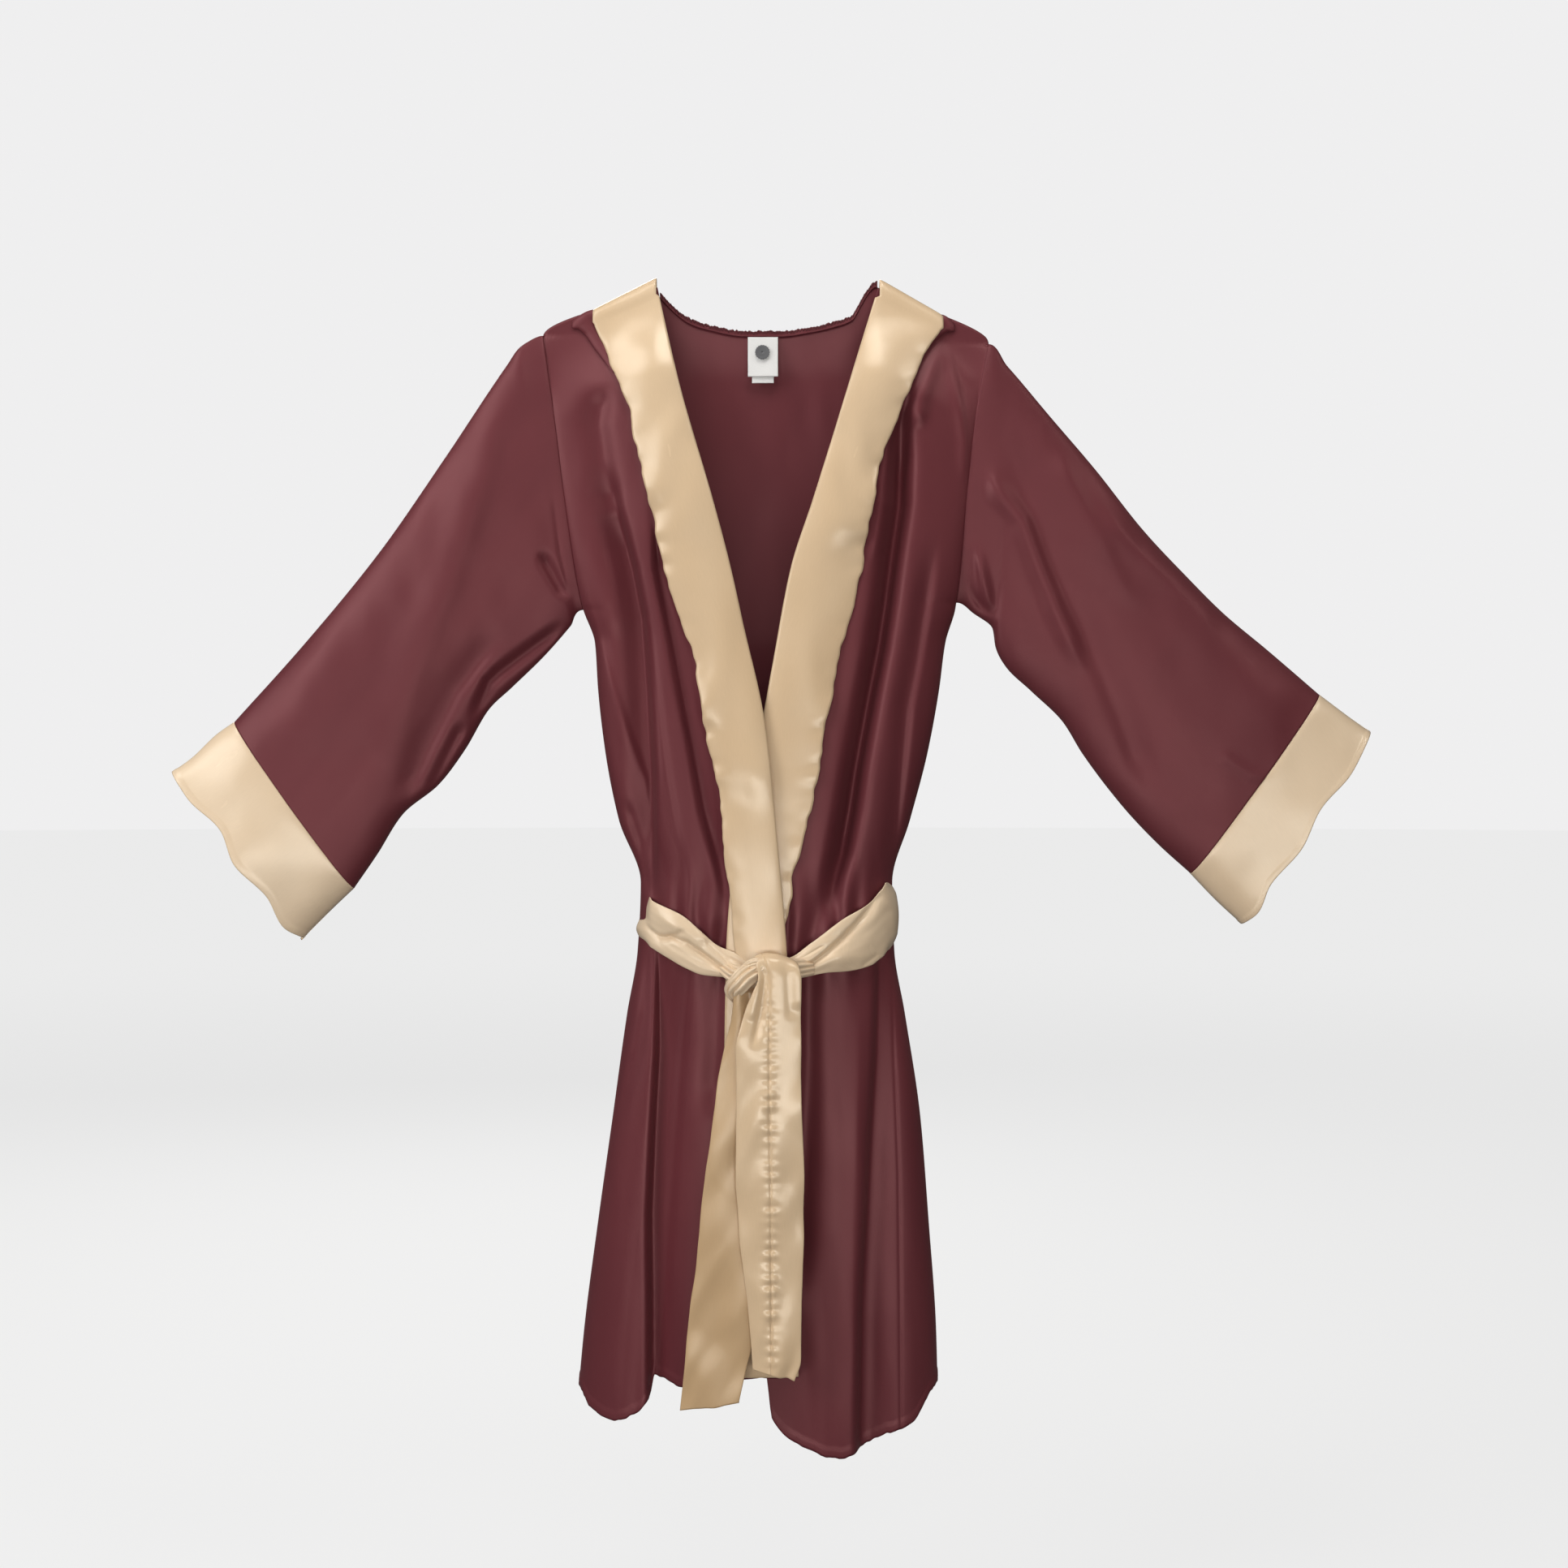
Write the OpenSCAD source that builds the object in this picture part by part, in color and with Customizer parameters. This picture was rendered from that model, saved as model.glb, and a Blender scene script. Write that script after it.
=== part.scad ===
// Hooded satin boxing robe, wrapped and tied, in the shape it takes on a hanger.
// +Z is up, the front faces -Y and +X is the wearer's left. The origin lies between the neck
// ends of the two shoulder seams, where a hanger or the wearer's shoulders carry the robe.

/* [Cloth] */
// Thickness given to a layer of satin
cloth_t = 1.2; // [0.8:0.1:1.4]
// Clearance between neighbouring layers, and across a sewn seam
seam_gap = 0.8; // [0.5:0.1:1]

/* [Body] */
// How far the front stands forward of the side seams at the chest
chest_depth = 42; // [30:1:46]
// How far the front stands forward of the side seams at the waist
waist_depth = 50; // [40:1:52]
// How far the front stands forward of the side seams at the hem
hem_depth = 57; // [45:1:60]
// How far the back stands behind the side seams at the chest
back_depth = 20; // [12:1:22]
// How far the back stands behind the side seams at the hem
hem_back_depth = 36; // [20:1:40]
// Half of the armhole's opening, front to back
armhole_depth = 14; // [10:1:16]

/* [Sleeves] */
// Half of the sleeve's thickness at the elbow
elbow_depth = 25; // [18:1:30]
// Half of the sleeve's thickness at the cuff
cuff_depth = 27; // [18:1:32]

/* [Belt] */
// Height of the belt at the sides and the back
belt_h = 58; // [40:1:64]
// Thickness of a doubled belt tail
tail_t = 2; // [1.4:0.1:2.4]

/* [Hood] */
// Distance from the origin down to the bottom of the hanging hood
hood_drop = 330; // [280:1:360]
// Half of the hanging hood's width
hood_half_w = 146; // [120:1:150]
// Half of the hanging hood's thickness at its middle
hood_half_t = 22; // [14:1:24]

/* [Labels] */
// Width of the neck label
label_w = 29; // [24:1:34]
// Height of the neck label
label_h = 38; // [30:1:42]

/* [Hidden] */

satin = "#6e373c";
gold = "#e1c8a5";
white = "#f4f2ee";

// Sides of the body at each height: [z, right, left], over the armholes and the side seams
SIDES = [[-51, -211, 218], [-130, -199, 203], [-200, -190, 195], [-310, -173, 185],
         [-345, -161, 175], [-390, -158, 169], [-450, -151, 158], [-515, -138, 141],
         [-575, -117, 124], [-640, -120, 126], [-700, -130, 136], [-800, -144, 151],
         [-900, -158, 159], [-1000, -171, 166], [-1075, -178, 168]];
SIDE_R = [for (s = SIDES) [s[0], s[1]]];
SIDE_L = [for (s = SIDES) [s[0], s[2]]];

// Free edges of the front bands at each height: [z, x]
BAND_R_IN = [[0, -102], [-45, -92], [-108, -77], [-215, -46], [-276, -30], [-330, -18],
             [-421, 2], [-522, 13], [-642, 23], [-800, 28], [-1040, 34]];
BAND_R_OUT = [[0, -163], [-31, -163], [-84, -145], [-128, -125], [-215, -107], [-317, -79],
              [-402, -59], [-474, -43], [-583, -30], [-660, -24], [-1040, -22]];
BAND_L_IN = [[0, 112], [-36, 101], [-110, 79], [-214, 47], [-276, 27], [-371, 9],
             [-409, 2], [-515, -22], [-642, -34], [-800, -36], [-1040, -30]];
BAND_L_OUT = [[0, 173], [-36, 173], [-91, 148], [-148, 122], [-214, 106], [-303, 89],
              [-380, 69], [-467, 52], [-549, 33], [-642, 24], [-800, 20], [-1040, 26]];

// Hems: [x, z]
HEM_R = [[-180, -1062], [-162, -1069], [-140, -1076], [-117, -1067], [-103, -1053],
         [-76, -1054], [-20, -1038], [36, -1036]];
HEM_L = [[-40, -1044], [4, -1050], [12, -1074], [27, -1090], [73, -1108], [99, -1101],
         [122, -1090], [148, -1080], [170, -1062]];
HEM_BACK = [[-180, -1062], [-90, -1052], [0, -1046], [90, -1052], [170, -1062]];

// Top edge of the back: [x, z]
BACK_NECK = [[-105, -4], [-94, -13], [-75, -32], [-55, -38], [-32, -44], [0, -46],
             [47, -40], [88, -28], [98, -13], [110, -4]];

// Folds in the front: [upper x, upper z, lower x, lower z, depth (+ is inwards), half width]
FOLDS = [[-140, -170, -112, -520, 12, 16], [126, -170, 78, -560, 12, 16],
         [-140, -640, -150, -1180, -12, 30], [-100, -680, -98, -1180, 8, 14],
         [50, -640, 74, -1180, -14, 38], [112, -660, 126, -1180, 6, 14]];

// Edges of the sleeves, shoulder seam edge and underarm edge: [along, x, z]
SLEEVE_R_TOP = [[0, -213, -48], [0.1, -246, -80], [0.3, -306, -170], [0.5, -367, -257],
                [0.75, -438, -344], [1, -507, -421]];
SLEEVE_R_LOW = [[0, -175, -313], [0.1, -190, -334], [0.3, -233, -379], [0.5, -273, -430],
                [0.75, -337, -503], [1, -393, -580]];
SLEEVE_L_TOP = [[0, 220, -57], [0.1, 247, -91], [0.35, 320, -179], [0.5, 364, -234],
                [0.75, 442, -316], [1, 534, -395]];
SLEEVE_L_LOW = [[0, 188, -307], [0.1, 221, -331], [0.3, 245, -377], [0.5, 291, -426],
                [0.75, 342, -496], [1, 411, -566]];
CUFF_R_TOP = [[0, -508, -423], [1, -566, -469]];
CUFF_R_LOW = [[0, -394, -582], [1, -443, -629]];
CUFF_L_TOP = [[0, 535, -397], [1, 583, -431]];
CUFF_L_LOW = [[0, 412, -568], [1, 460, -614]];

// Edges of the belt's tails: [z, edge towards -X, edge towards +X]
TAIL_FRONT = [[-668, -8, 36], [-716, -23, 36], [-780, -24, 37], [-850, -24, 39],
              [-900, -20, 38], [-957, -14, 37], [-1022, -8, 32]];
TAIL_REAR = [[-700, -27, 2], [-723, -34, 4], [-776, -44, 4], [-850, -53, 2],
             [-948, -64, -6], [-1056, -76, -22]];

waist_z = -608;
knot_z = -655;
knot_x = 4;
layer_step = cloth_t + seam_gap;
band_layer = layer_step;          // a band lies one layer outside its own panel
over_layer = 2 * layer_step;      // the right panel lies over the left panel and its band
edge_gap = layer_step / 2;        // from the seam line to the middle of either layer
belt_clear = 3 * layer_step + cloth_t + 3;
arm_tip_r = [-211, -50];
arm_tip_l = [218, -58];
pit_z_r = -313;
pit_z_l = -306;
tail_front_y = -92;
tail_rear_y = -84;
hood_y = 34 + hood_half_t;

function lerp(a, b, t) = a + (b - a) * t;
function ease(t) = let (c = max(0, min(1, t))) c * c * (3 - 2 * c);
function sum(v, i = 0) = i < len(v) ? v[i] + sum(v, i + 1) : 0;

// Height of the shoulder seams above x
function shoulder_z(x) =
    x < 0 ? -3 - 47 * max(0, -x - 102) / 109 : -3 - 55 * max(0, x - 110) / 108;

// Depths of the body at height z
function front_depth(z) =
    lookup(z, [[-50, 18], [-130, 30], [-310, chest_depth], [-575, waist_depth],
               [-660, waist_depth], [-1100, hem_depth]]);
function rear_depth(z) =
    lookup(z, [[-50, 14], [-310, back_depth], [-660, back_depth + 4],
               [-1100, hem_back_depth]]);

// 0 at the side of the body and 1 over its middle, rounded like a soft tube
function round_out(x, z) =
    let (a = (x - lookup(z, SIDE_R)) / (lookup(z, SIDE_L) - lookup(z, SIDE_R)))
    pow(max(0, 1 - pow(min(1, abs(2 * a - 1)), 2.6)), 0.5);
function armhole(x, z) =
    let (tip = x < 0 ? arm_tip_r[1] : arm_tip_l[1],
         pit = x < 0 ? pit_z_r : pit_z_l,
         f = max(0, min(1, (tip - z) / (tip - pit))))
    armhole_depth * 2 * sqrt(f * (1 - f));
function fold(x, z) =
    sum([for (f = FOLDS)
        let (s = (z - f[1]) / (f[3] - f[1]),
             w = (x - lerp(f[0], f[2], s)) / f[5])
        f[4] * ease(4 * s) * ease(4 * (1 - s)) * exp(-w * w)]);

function front_y(x, z) =
    let (p = round_out(x, z))
    -edge_gap - armhole(x, z) * (1 - p)
    + p * (fold(x, z) - front_depth(z) * ease((shoulder_z(x) - z) / 90));
function back_y(x, z) =
    let (p = round_out(x, z))
    edge_gap + armhole(x, z) * (1 - p)
    + p * rear_depth(z) * ease((shoulder_z(x) - z) / 90);
function right_layer(x) = over_layer * ease((x + 150) / 70);

// Closed slab about a grid of points. ring joins the last column to the first.
function step(j, n, ring) = ring ? (j + n) % n : max(0, min(n - 1, j));
function normal(g, i, j, ring) =
    let (r = len(g), c = len(g[0]),
         along = g[min(i + 1, r - 1)][j] - g[max(i - 1, 0)][j],
         over = g[i][step(j + 1, c, ring)] - g[i][step(j - 1, c, ring)],
         n = cross(along, over))
    n / norm(n);
module slab(g, t, ring = false) {
    r = len(g);
    c = len(g[0]);
    spans = ring ? c : c - 1;
    outer = [for (i = [0:r - 1]) for (j = [0:c - 1]) g[i][j] + normal(g, i, j, ring) * t / 2];
    inner = [for (i = [0:r - 1]) for (j = [0:c - 1]) g[i][j] - normal(g, i, j, ring) * t / 2];
    m = r * c;
    sheets = [for (i = [0:r - 2]) for (j = [0:spans - 1])
        let (a = i * c + j, b = i * c + (j + 1) % c, d = a + c, e = b + c)
        each [[a, d, b], [b, d, e], [m + a, m + b, m + d], [m + b, m + e, m + d]]];
    ends = [for (j = [0:spans - 1])
        let (a = j, b = (j + 1) % c, d = (r - 1) * c + j, e = (r - 1) * c + (j + 1) % c)
        each [[a, b, m + a], [b, m + b, m + a], [d, m + d, e], [e, m + d, m + e]]];
    sides = [for (i = [0:r - 2])
        let (a = i * c, b = a + c, d = a + c - 1, e = d + c)
        each [[a, m + a, b], [b, m + a, m + b], [d, e, m + d], [e, m + e, m + d]]];
    polyhedron(concat(outer, inner), ring ? concat(sheets, ends) : concat(sheets, ends, sides));
}

// Front panel from its side (u = 0) to its free edge (u = 1). flip keeps the outside outwards.
function panel_x(u, z, side, edge) = lerp(lookup(z, side), lookup(z, edge), u * u * (2 - u));
function panel_point(u, t, side, edge, hem, tip, lift) =
    let (top = lerp(tip[1], -4, u),
         low = lookup(panel_x(u, -1060, side, edge), hem),
         z = lerp(top, low, t),
         x = panel_x(u, z, side, edge))
    [x, front_y(x, z) - (lift ? right_layer(x) : 0), z];
module front_panel(side, edge, hem, tip, lift, flip) {
    rows = 25;
    cols = 14;
    grid = [for (i = [0:rows])
        [for (k = [0:cols])
            let (j = flip ? cols - k : k)
            panel_point(j / cols, i / rows, side, edge, hem, tip, lift)]];
    slab(grid, cloth_t);
}

// Front band, from behind the shoulder, over it, and down the free edge to the hem
crown_rows = 4;
crown_h = 5.5;                    // how far the band stands over the shoulder seam
crown_drop = 8;                   // below the seam, where the band starts down the front
function crown_point(row, x, top, layer) =
    row == 0 ? [x, back_y(x, top - 26) + layer_step + crown_h, top - 26]
    : row == 1 ? [x, edge_gap + layer_step + crown_h / 2, top - crown_drop]
    : row == 2 ? [x, 0, top + crown_h]
    : [x, front_y(x, top - crown_drop / 2) - layer - crown_h * 0.7, top - crown_drop / 2];
function band_point(row, rows, w, inner, outer, hem, lift) =
    let (top_x = lerp(lookup(0, outer), lookup(0, inner), w),
         top = shoulder_z(top_x),
         low = lookup(lerp(lookup(-1040, outer), lookup(-1040, inner), w), hem) + 2,
         z = lerp(top - 2 * crown_drop, low, max(0, row - crown_rows) / (rows - crown_rows)),
         x = lerp(lookup(z, outer), lookup(z, inner), w),
         loose = 3 * ease((z + 320) / 120))
    row < crown_rows
        ? crown_point(row, top_x, top, band_layer + (lift ? right_layer(top_x) : 0))
        : [x, front_y(x, z) - band_layer - loose - (lift ? right_layer(x) : 0), z];
module front_band(inner, outer, hem, lift, flip) {
    rows = 36;
    cols = 4;
    grid = [for (i = [0:rows])
        [for (k = [0:cols])
            let (w = (flip ? cols - k : k) / cols)
            band_point(i, rows, w, inner, outer, hem, lift)]];
    slab(grid, cloth_t);
}

// Tube of cloth between a top edge and a low edge, flattened front to back
function edge_at(table, v) =
    [lookup(v, [for (e = table) [e[0], e[1]]]), 0, lookup(v, [for (e = table) [e[0], e[2]]])];
module sleeve_tube(top, low, depths, rows) {
    cols = 24;
    grid = [for (i = [0:rows])
        let (v = i / rows, a = edge_at(top, v), b = edge_at(low, v), d = lookup(v, depths))
        [for (j = [0:cols - 1])
            let (q = 360 * j / cols)
            (a + b) / 2 + (a - b) / 2 * cos(q) + [0, d * sin(q) * (a[0] < 0 ? 1 : -1), 0]]];
    slab(grid, cloth_t, ring = true);
}

module back_panel() {
    rows = 24;
    cols = 22;
    grid = [for (i = [0:rows])
        [for (k = [0:cols])
            let (h = (1 - cos(180 * k / cols)) / 2,
                 top_x = lerp(arm_tip_r[0], arm_tip_l[0], h),
                 top = top_x < -105 || top_x > 110 ? shoulder_z(top_x) : lookup(top_x, BACK_NECK),
                 low = lookup(lerp(-178, 168, h), HEM_BACK),
                 z = lerp(top, low, i / rows),
                 x = lerp(lookup(z, SIDE_R), lookup(z, SIDE_L), h))
            [x, back_y(x, z), z]]];
    color(satin) slab(grid, cloth_t);
}

module right_front_panel() {
    color(satin) front_panel(SIDE_R, BAND_R_IN, HEM_R, arm_tip_r, true, true);
}

module left_front_panel() {
    color(satin) front_panel(SIDE_L, BAND_L_IN, HEM_L, arm_tip_l, false, false);
}

module right_front_band() {
    color(gold) front_band(BAND_R_IN, BAND_R_OUT, HEM_R, true, true);
}

module left_front_band() {
    color(gold) front_band(BAND_L_IN, BAND_L_OUT, HEM_L, false, false);
}

// Bound seam that joins the hood to the back neck, standing on the back's top edge
module neck_seam_tape() {
    cols = 16;
    tape_h = 6;
    lift = 4;
    grid = [for (side = [0, 1])
        [for (k = [0:cols])
            let (x = lerp(-92, 96, k / cols), z = lookup(x, BACK_NECK) + lift + tape_h * side)
            [x, back_y(x, lookup(x, BACK_NECK)), z]]];
    color(satin) slab(grid, cloth_t);
}

module right_sleeve() {
    color(satin) sleeve_tube(SLEEVE_R_TOP, SLEEVE_R_LOW,
        [[0, armhole_depth], [0.4, elbow_depth], [1, cuff_depth]], 14);
}

module left_sleeve() {
    color(satin) sleeve_tube(SLEEVE_L_TOP, SLEEVE_L_LOW,
        [[0, armhole_depth], [0.4, elbow_depth], [1, cuff_depth]], 14);
}

module right_cuff() {
    color(gold) sleeve_tube(CUFF_R_TOP, CUFF_R_LOW, [[0, cuff_depth], [1, cuff_depth + 2]], 3);
}

module left_cuff() {
    color(gold) sleeve_tube(CUFF_L_TOP, CUFF_L_LOW, [[0, cuff_depth], [1, cuff_depth + 2]], 3);
}

// Hanging hood, one half: down from the neck, round the bottom and up to the rim
hood_top_z = -56;
rim_low_z = -170;
function hood_bottom(w) = lerp(-110, -hood_drop, sqrt(1 - pow(w, 2.4)));
function hood_rim(w) = lerp(rim_low_z, hood_top_z - 6, ease(w));
function hood_depth(w) = 7 + (hood_half_t - 7) * (1 - w * w);
function hood_point(w, t, side) =
    let (x = side * lerp(seam_gap / 2, hood_half_w, w),
         low = hood_bottom(w),
         d = hood_depth(w),
         turn = 90 * (2 * max(0.4, min(0.6, t)) - 1) / 0.2,
         z = t < 0.4 ? lerp(hood_top_z, low + d, t / 0.4)
           : t > 0.6 ? lerp(low + d, hood_rim(w), (t - 0.6) / 0.4)
           : low + d - d * cos(turn))
    [x, hood_y + d * sin(turn), z];
module hood_half(side) {
    rows = 20;
    cols = 9;
    grid = [for (i = [0:rows])
        [for (k = [0:cols])
            let (w = sin(88 * (side > 0 ? k : cols - k) / cols))
            hood_point(w, i / rows, side)]];
    color(satin) slab(grid, cloth_t);
}

module hood_right_half() {
    hood_half(-1);
}

module hood_left_half() {
    hood_half(1);
}

// Gold band round the hood's rim, one layer outside the hood
module hood_band() {
    cols = 22;
    band_h = 58;
    grid = [for (i = [0:3])
        [for (k = [0:cols])
            let (s = lerp(-0.985, 0.985, k / cols),
                 w = abs(s),
                 x = hood_half_w * s,
                 high = hood_rim(w) - band_h * (1 - 0.55 * w) * (i / 3))
            [x, hood_y + hood_depth(w) + band_layer + (i == 0 ? 0 : 0.2), high]]];
    color(gold) slab([for (i = [3:-1:0]) grid[i]], cloth_t);
}

// Part of the hood that lies over a shoulder, outside the end of the front band
module hood_roll(side) {
    path = [[150, -30, -78], [160, -24, -54], [172, -14, -32], [174, 0, -23],
            [170, 14, -30], [160, 24, -48]];
    grid = [for (p = path) [for (k = [0:3]) [side * (p[0] + 6 * k), p[1], p[2] - 2.6 * k]]];
    flipped = [for (r = grid) [for (k = [3:-1:0]) r[k]]];
    color(satin) slab(side > 0 ? grid : flipped, cloth_t);
}

module hood_roll_right() {
    hood_roll(-1);
}

module hood_roll_left() {
    hood_roll(1);
}

// Belt round the waist, pinched in towards the knot
module belt_wrap() {
    cols = 44;
    mid = (lookup(waist_z, SIDE_R) + lookup(waist_z, SIDE_L)) / 2;
    half = (lookup(waist_z, SIDE_L) - lookup(waist_z, SIDE_R)) / 2 + 4.5;
    grid = [for (i = [0:4])
        [for (j = [0:cols - 1])
            let (q = 360 * j / cols,
                 x = mid + half * cos(q),
                 p = pow(max(0, 1 - pow(abs(cos(q)), 2.6)), 0.5),
                 front = sin(q) < 0,
                 pinch = front ? ease(1.05 - abs(x - knot_x) / 112) : 0,
                 h = lerp(belt_h, 18, pinch),
                 y = front ? -(waist_depth + belt_clear) * p : (back_depth + 9) * p)
            [x, y, lerp(waist_z, knot_z, pinch) - h * (i / 4 - 0.5)]]];
    color(gold) slab([for (i = [4:-1:0]) grid[i]], cloth_t, ring = true);
}

module belt_knot() {
    r = 10.5;
    color(gold) hull() {
        for (p = [[-17, -664], [8, -652], [22, -658], [4, -669]]) {
            translate([p[0], -77, p[1]]) sphere(r = r, $fn = 24);
        }
    }
}

module belt_tail(table, y, rows) {
    top = table[0][0];
    low = table[len(table) - 1][0];
    grid = [for (i = [0:rows])
        let (z = lerp(top, low, i / rows),
             a = lookup(z, [for (e = table) [e[0], e[1]]]),
             b = lookup(z, [for (e = table) [e[0], e[2]]]))
        [for (k = [0:4]) [lerp(b, a, k / 4), y, z]]];
    color(gold) slab(grid, tail_t);
}

module belt_tail_front() {
    belt_tail(TAIL_FRONT, tail_front_y, 10);
}

module belt_tail_rear() {
    belt_tail(TAIL_REAR, tail_rear_y, 10);
}

label_top_z = -50;
module neck_label() {
    color(white) translate([-label_w / 2, back_y(0, label_top_z) - 3.4, label_top_z - label_h])
        cube([label_w, 0.8, label_h]);
}

module size_label() {
    color(white) translate([-label_w / 2 + 4, back_y(0, label_top_z) - 2, label_top_z - label_h - 6])
        cube([label_w - 8, 0.8, label_h]);
}

back_panel();
right_front_panel();
left_front_panel();
right_front_band();
left_front_band();
neck_seam_tape();
right_sleeve();
left_sleeve();
right_cuff();
left_cuff();
hood_right_half();
hood_left_half();
hood_band();
hood_roll_right();
hood_roll_left();
belt_wrap();
belt_knot();
belt_tail_front();
belt_tail_rear();
neck_label();
size_label();
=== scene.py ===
"""Hooded satin boxing robe: the cloth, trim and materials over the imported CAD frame.

Lengths in the shape functions are millimetres, in the frame's axes: +Z up, front at -Y and +X
towards the wearer's left. They become metres where a mesh is made.
"""
import math

import bpy
import numpy as np
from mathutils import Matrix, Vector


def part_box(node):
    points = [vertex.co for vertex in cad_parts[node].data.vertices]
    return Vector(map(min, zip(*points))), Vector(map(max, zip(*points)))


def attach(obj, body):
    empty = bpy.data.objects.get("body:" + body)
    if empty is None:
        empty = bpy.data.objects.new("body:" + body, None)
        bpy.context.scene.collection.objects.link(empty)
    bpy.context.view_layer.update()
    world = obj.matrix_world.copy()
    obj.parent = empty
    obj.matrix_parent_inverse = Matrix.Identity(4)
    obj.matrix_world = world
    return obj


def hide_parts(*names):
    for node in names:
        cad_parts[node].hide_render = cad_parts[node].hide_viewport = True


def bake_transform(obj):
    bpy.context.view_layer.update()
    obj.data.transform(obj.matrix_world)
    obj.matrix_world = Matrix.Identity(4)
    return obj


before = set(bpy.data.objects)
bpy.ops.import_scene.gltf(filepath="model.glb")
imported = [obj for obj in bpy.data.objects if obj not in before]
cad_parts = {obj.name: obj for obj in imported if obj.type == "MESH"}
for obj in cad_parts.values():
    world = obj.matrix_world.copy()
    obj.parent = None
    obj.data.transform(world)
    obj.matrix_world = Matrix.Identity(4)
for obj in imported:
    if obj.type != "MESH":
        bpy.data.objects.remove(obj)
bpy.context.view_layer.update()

MM = 0.001
CLOTH_T = 0.6          # one layer of satin with a little body, so that its edges show
BAND_T = 1.5           # a band is cut double
LAYER = 2.0            # step from one layer to the next, as in the CAD
HALF_GAP = 0.4         # front and back lie this far from the middle plane at the side seams
RIGHT, LEFT = -1, 1    # the wearer's sides, which are also the signs of x
SIDE_NAME = {RIGHT: "right", LEFT: "left"}


# ---- curves and noise

def curve(points):
    """Smooth curve through (key, value) points that never overshoots them."""
    x, y = np.array(sorted(points), float).T
    h = np.diff(x)
    d = np.diff(y) / h
    m = np.concatenate([[d[0]], np.zeros(len(x) - 2), [d[-1]]])
    same = d[:-1] * d[1:] > 0
    m[1:-1][same] = (2 * d[:-1] * d[1:])[same] / (d[:-1] + d[1:])[same]

    def at(q):
        q = np.clip(q, x[0], x[-1])
        i = np.clip(np.searchsorted(x, q) - 1, 0, len(h) - 1)
        t = (q - x[i]) / h[i]
        a = (1 + 2 * t) * (1 - t) ** 2
        b = t * (1 - t) ** 2
        return a * y[i] + b * h[i] * m[i] + (1 - a) * y[i + 1] - t * t * (1 - t) * h[i] * m[i + 1]
    return at


def ease(t):
    t = np.clip(t, 0, 1)
    return t * t * (3 - 2 * t)


def lerp(a, b, t):
    return a + (b - a) * t


def swing(angle):
    """0 to 1 over half a turn, slow at both ends."""
    return (1 - np.cos(angle)) / 2


def noise(u, v, seed):
    """Smooth noise from -1 to 1 with one feature per unit of u and v."""
    table = np.random.RandomState(seed).uniform(-1, 1, (64, 64))
    u, v = np.broadcast_arrays(np.asarray(u, float), np.asarray(v, float))
    i, j = np.floor(u).astype(int), np.floor(v).astype(int)
    s, t = ease(u - i), ease(v - j)
    c = [table[(i + a) % 64, (j + b) % 64] for a in (0, 1) for b in (0, 1)]
    return lerp(lerp(c[0], c[1], t), lerp(c[2], c[3], t), s)


# ---- outlines, as in the CAD

SIDE_R = curve([
    (-51, -211), (-130, -199), (-200, -190), (-310, -173), (-345, -161), (-390, -158),
    (-450, -151), (-515, -138), (-575, -117), (-640, -120), (-700, -130), (-800, -144),
    (-900, -158), (-1000, -171), (-1075, -178)])
SIDE_L = curve([
    (-51, 218), (-130, 203), (-200, 195), (-310, 185), (-345, 175), (-390, 169), (-450, 158),
    (-515, 141), (-575, 124), (-640, 126), (-700, 136), (-800, 151), (-900, 159), (-1000, 166),
    (-1075, 168)])
BAND_R_IN = curve([
    (0, -102), (-45, -92), (-108, -77), (-215, -46), (-276, -30), (-330, -18), (-421, 2),
    (-522, 13), (-642, 23), (-800, 28), (-1040, 34)])
BAND_R_OUT = curve([
    (0, -163), (-31, -163), (-62, -152), (-84, -145), (-112, -132), (-128, -125), (-155, -122),
    (-184, -114), (-215, -107), (-276, -92), (-317, -79), (-366, -63), (-402, -59), (-448, -48),
    (-474, -43), (-546, -36), (-583, -31), (-660, -24), (-1040, -22)])
BAND_L_IN = curve([
    (0, 112), (-36, 101), (-110, 79), (-214, 47), (-276, 27), (-371, 9), (-409, 2), (-515, -22),
    (-642, -34), (-800, -36), (-1040, -30)])
BAND_L_OUT = curve([
    (0, 173), (-36, 173), (-66, 157), (-81, 151), (-107, 139), (-133, 128), (-148, 122),
    (-193, 109), (-214, 106), (-276, 93), (-303, 89), (-334, 79), (-380, 69), (-416, 61),
    (-467, 52), (-513, 42), (-549, 33), (-600, 23), (-642, 15), (-800, 6), (-1040, 1)])
HEM_R = curve([
    (-180, -1054), (-173, -1058), (-163, -1071), (-140, -1079), (-118, -1071), (-107, -1057),
    (-104, -1039), (-76, -1045), (-20, -1036), (36, -1034)])
HEM_L = curve([
    (-40, -1030), (3, -1032), (9, -1074), (35, -1099), (69, -1110), (92, -1105), (115, -1094),
    (141, -1084), (160, -1058), (170, -1050)])
HEM_BACK = curve([
    (-180, -1054), (-90, -1036), (0, -1028), (90, -1040), (170, -1050)])
BACK_NECK = curve([
    (-106, -3), (-98, -11), (-85, -24), (-71, -34), (-57, -39), (-16, -46), (16, -46), (47, -42),
    (70, -37), (86, -31), (94, -18), (103, -4), (108, 0), (112, 0)])
FRONT_DEPTH = curve([
    (-50, 18), (-130, 30), (-310, 42), (-575, 50), (-660, 50), (-1100, 57)])
REAR_DEPTH = curve([
    (-50, 14), (-310, 20), (-660, 24), (-1100, 36)])
ARMHOLE_DEPTH = 14
TIP = {RIGHT: (-211, -50), LEFT: (218, -58)}     # shoulder tips
PIT = {RIGHT: -313, LEFT: -306}                  # heights of the armpits
NECK_END = {RIGHT: -102, LEFT: 110}              # where the shoulders end at the neck
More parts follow.
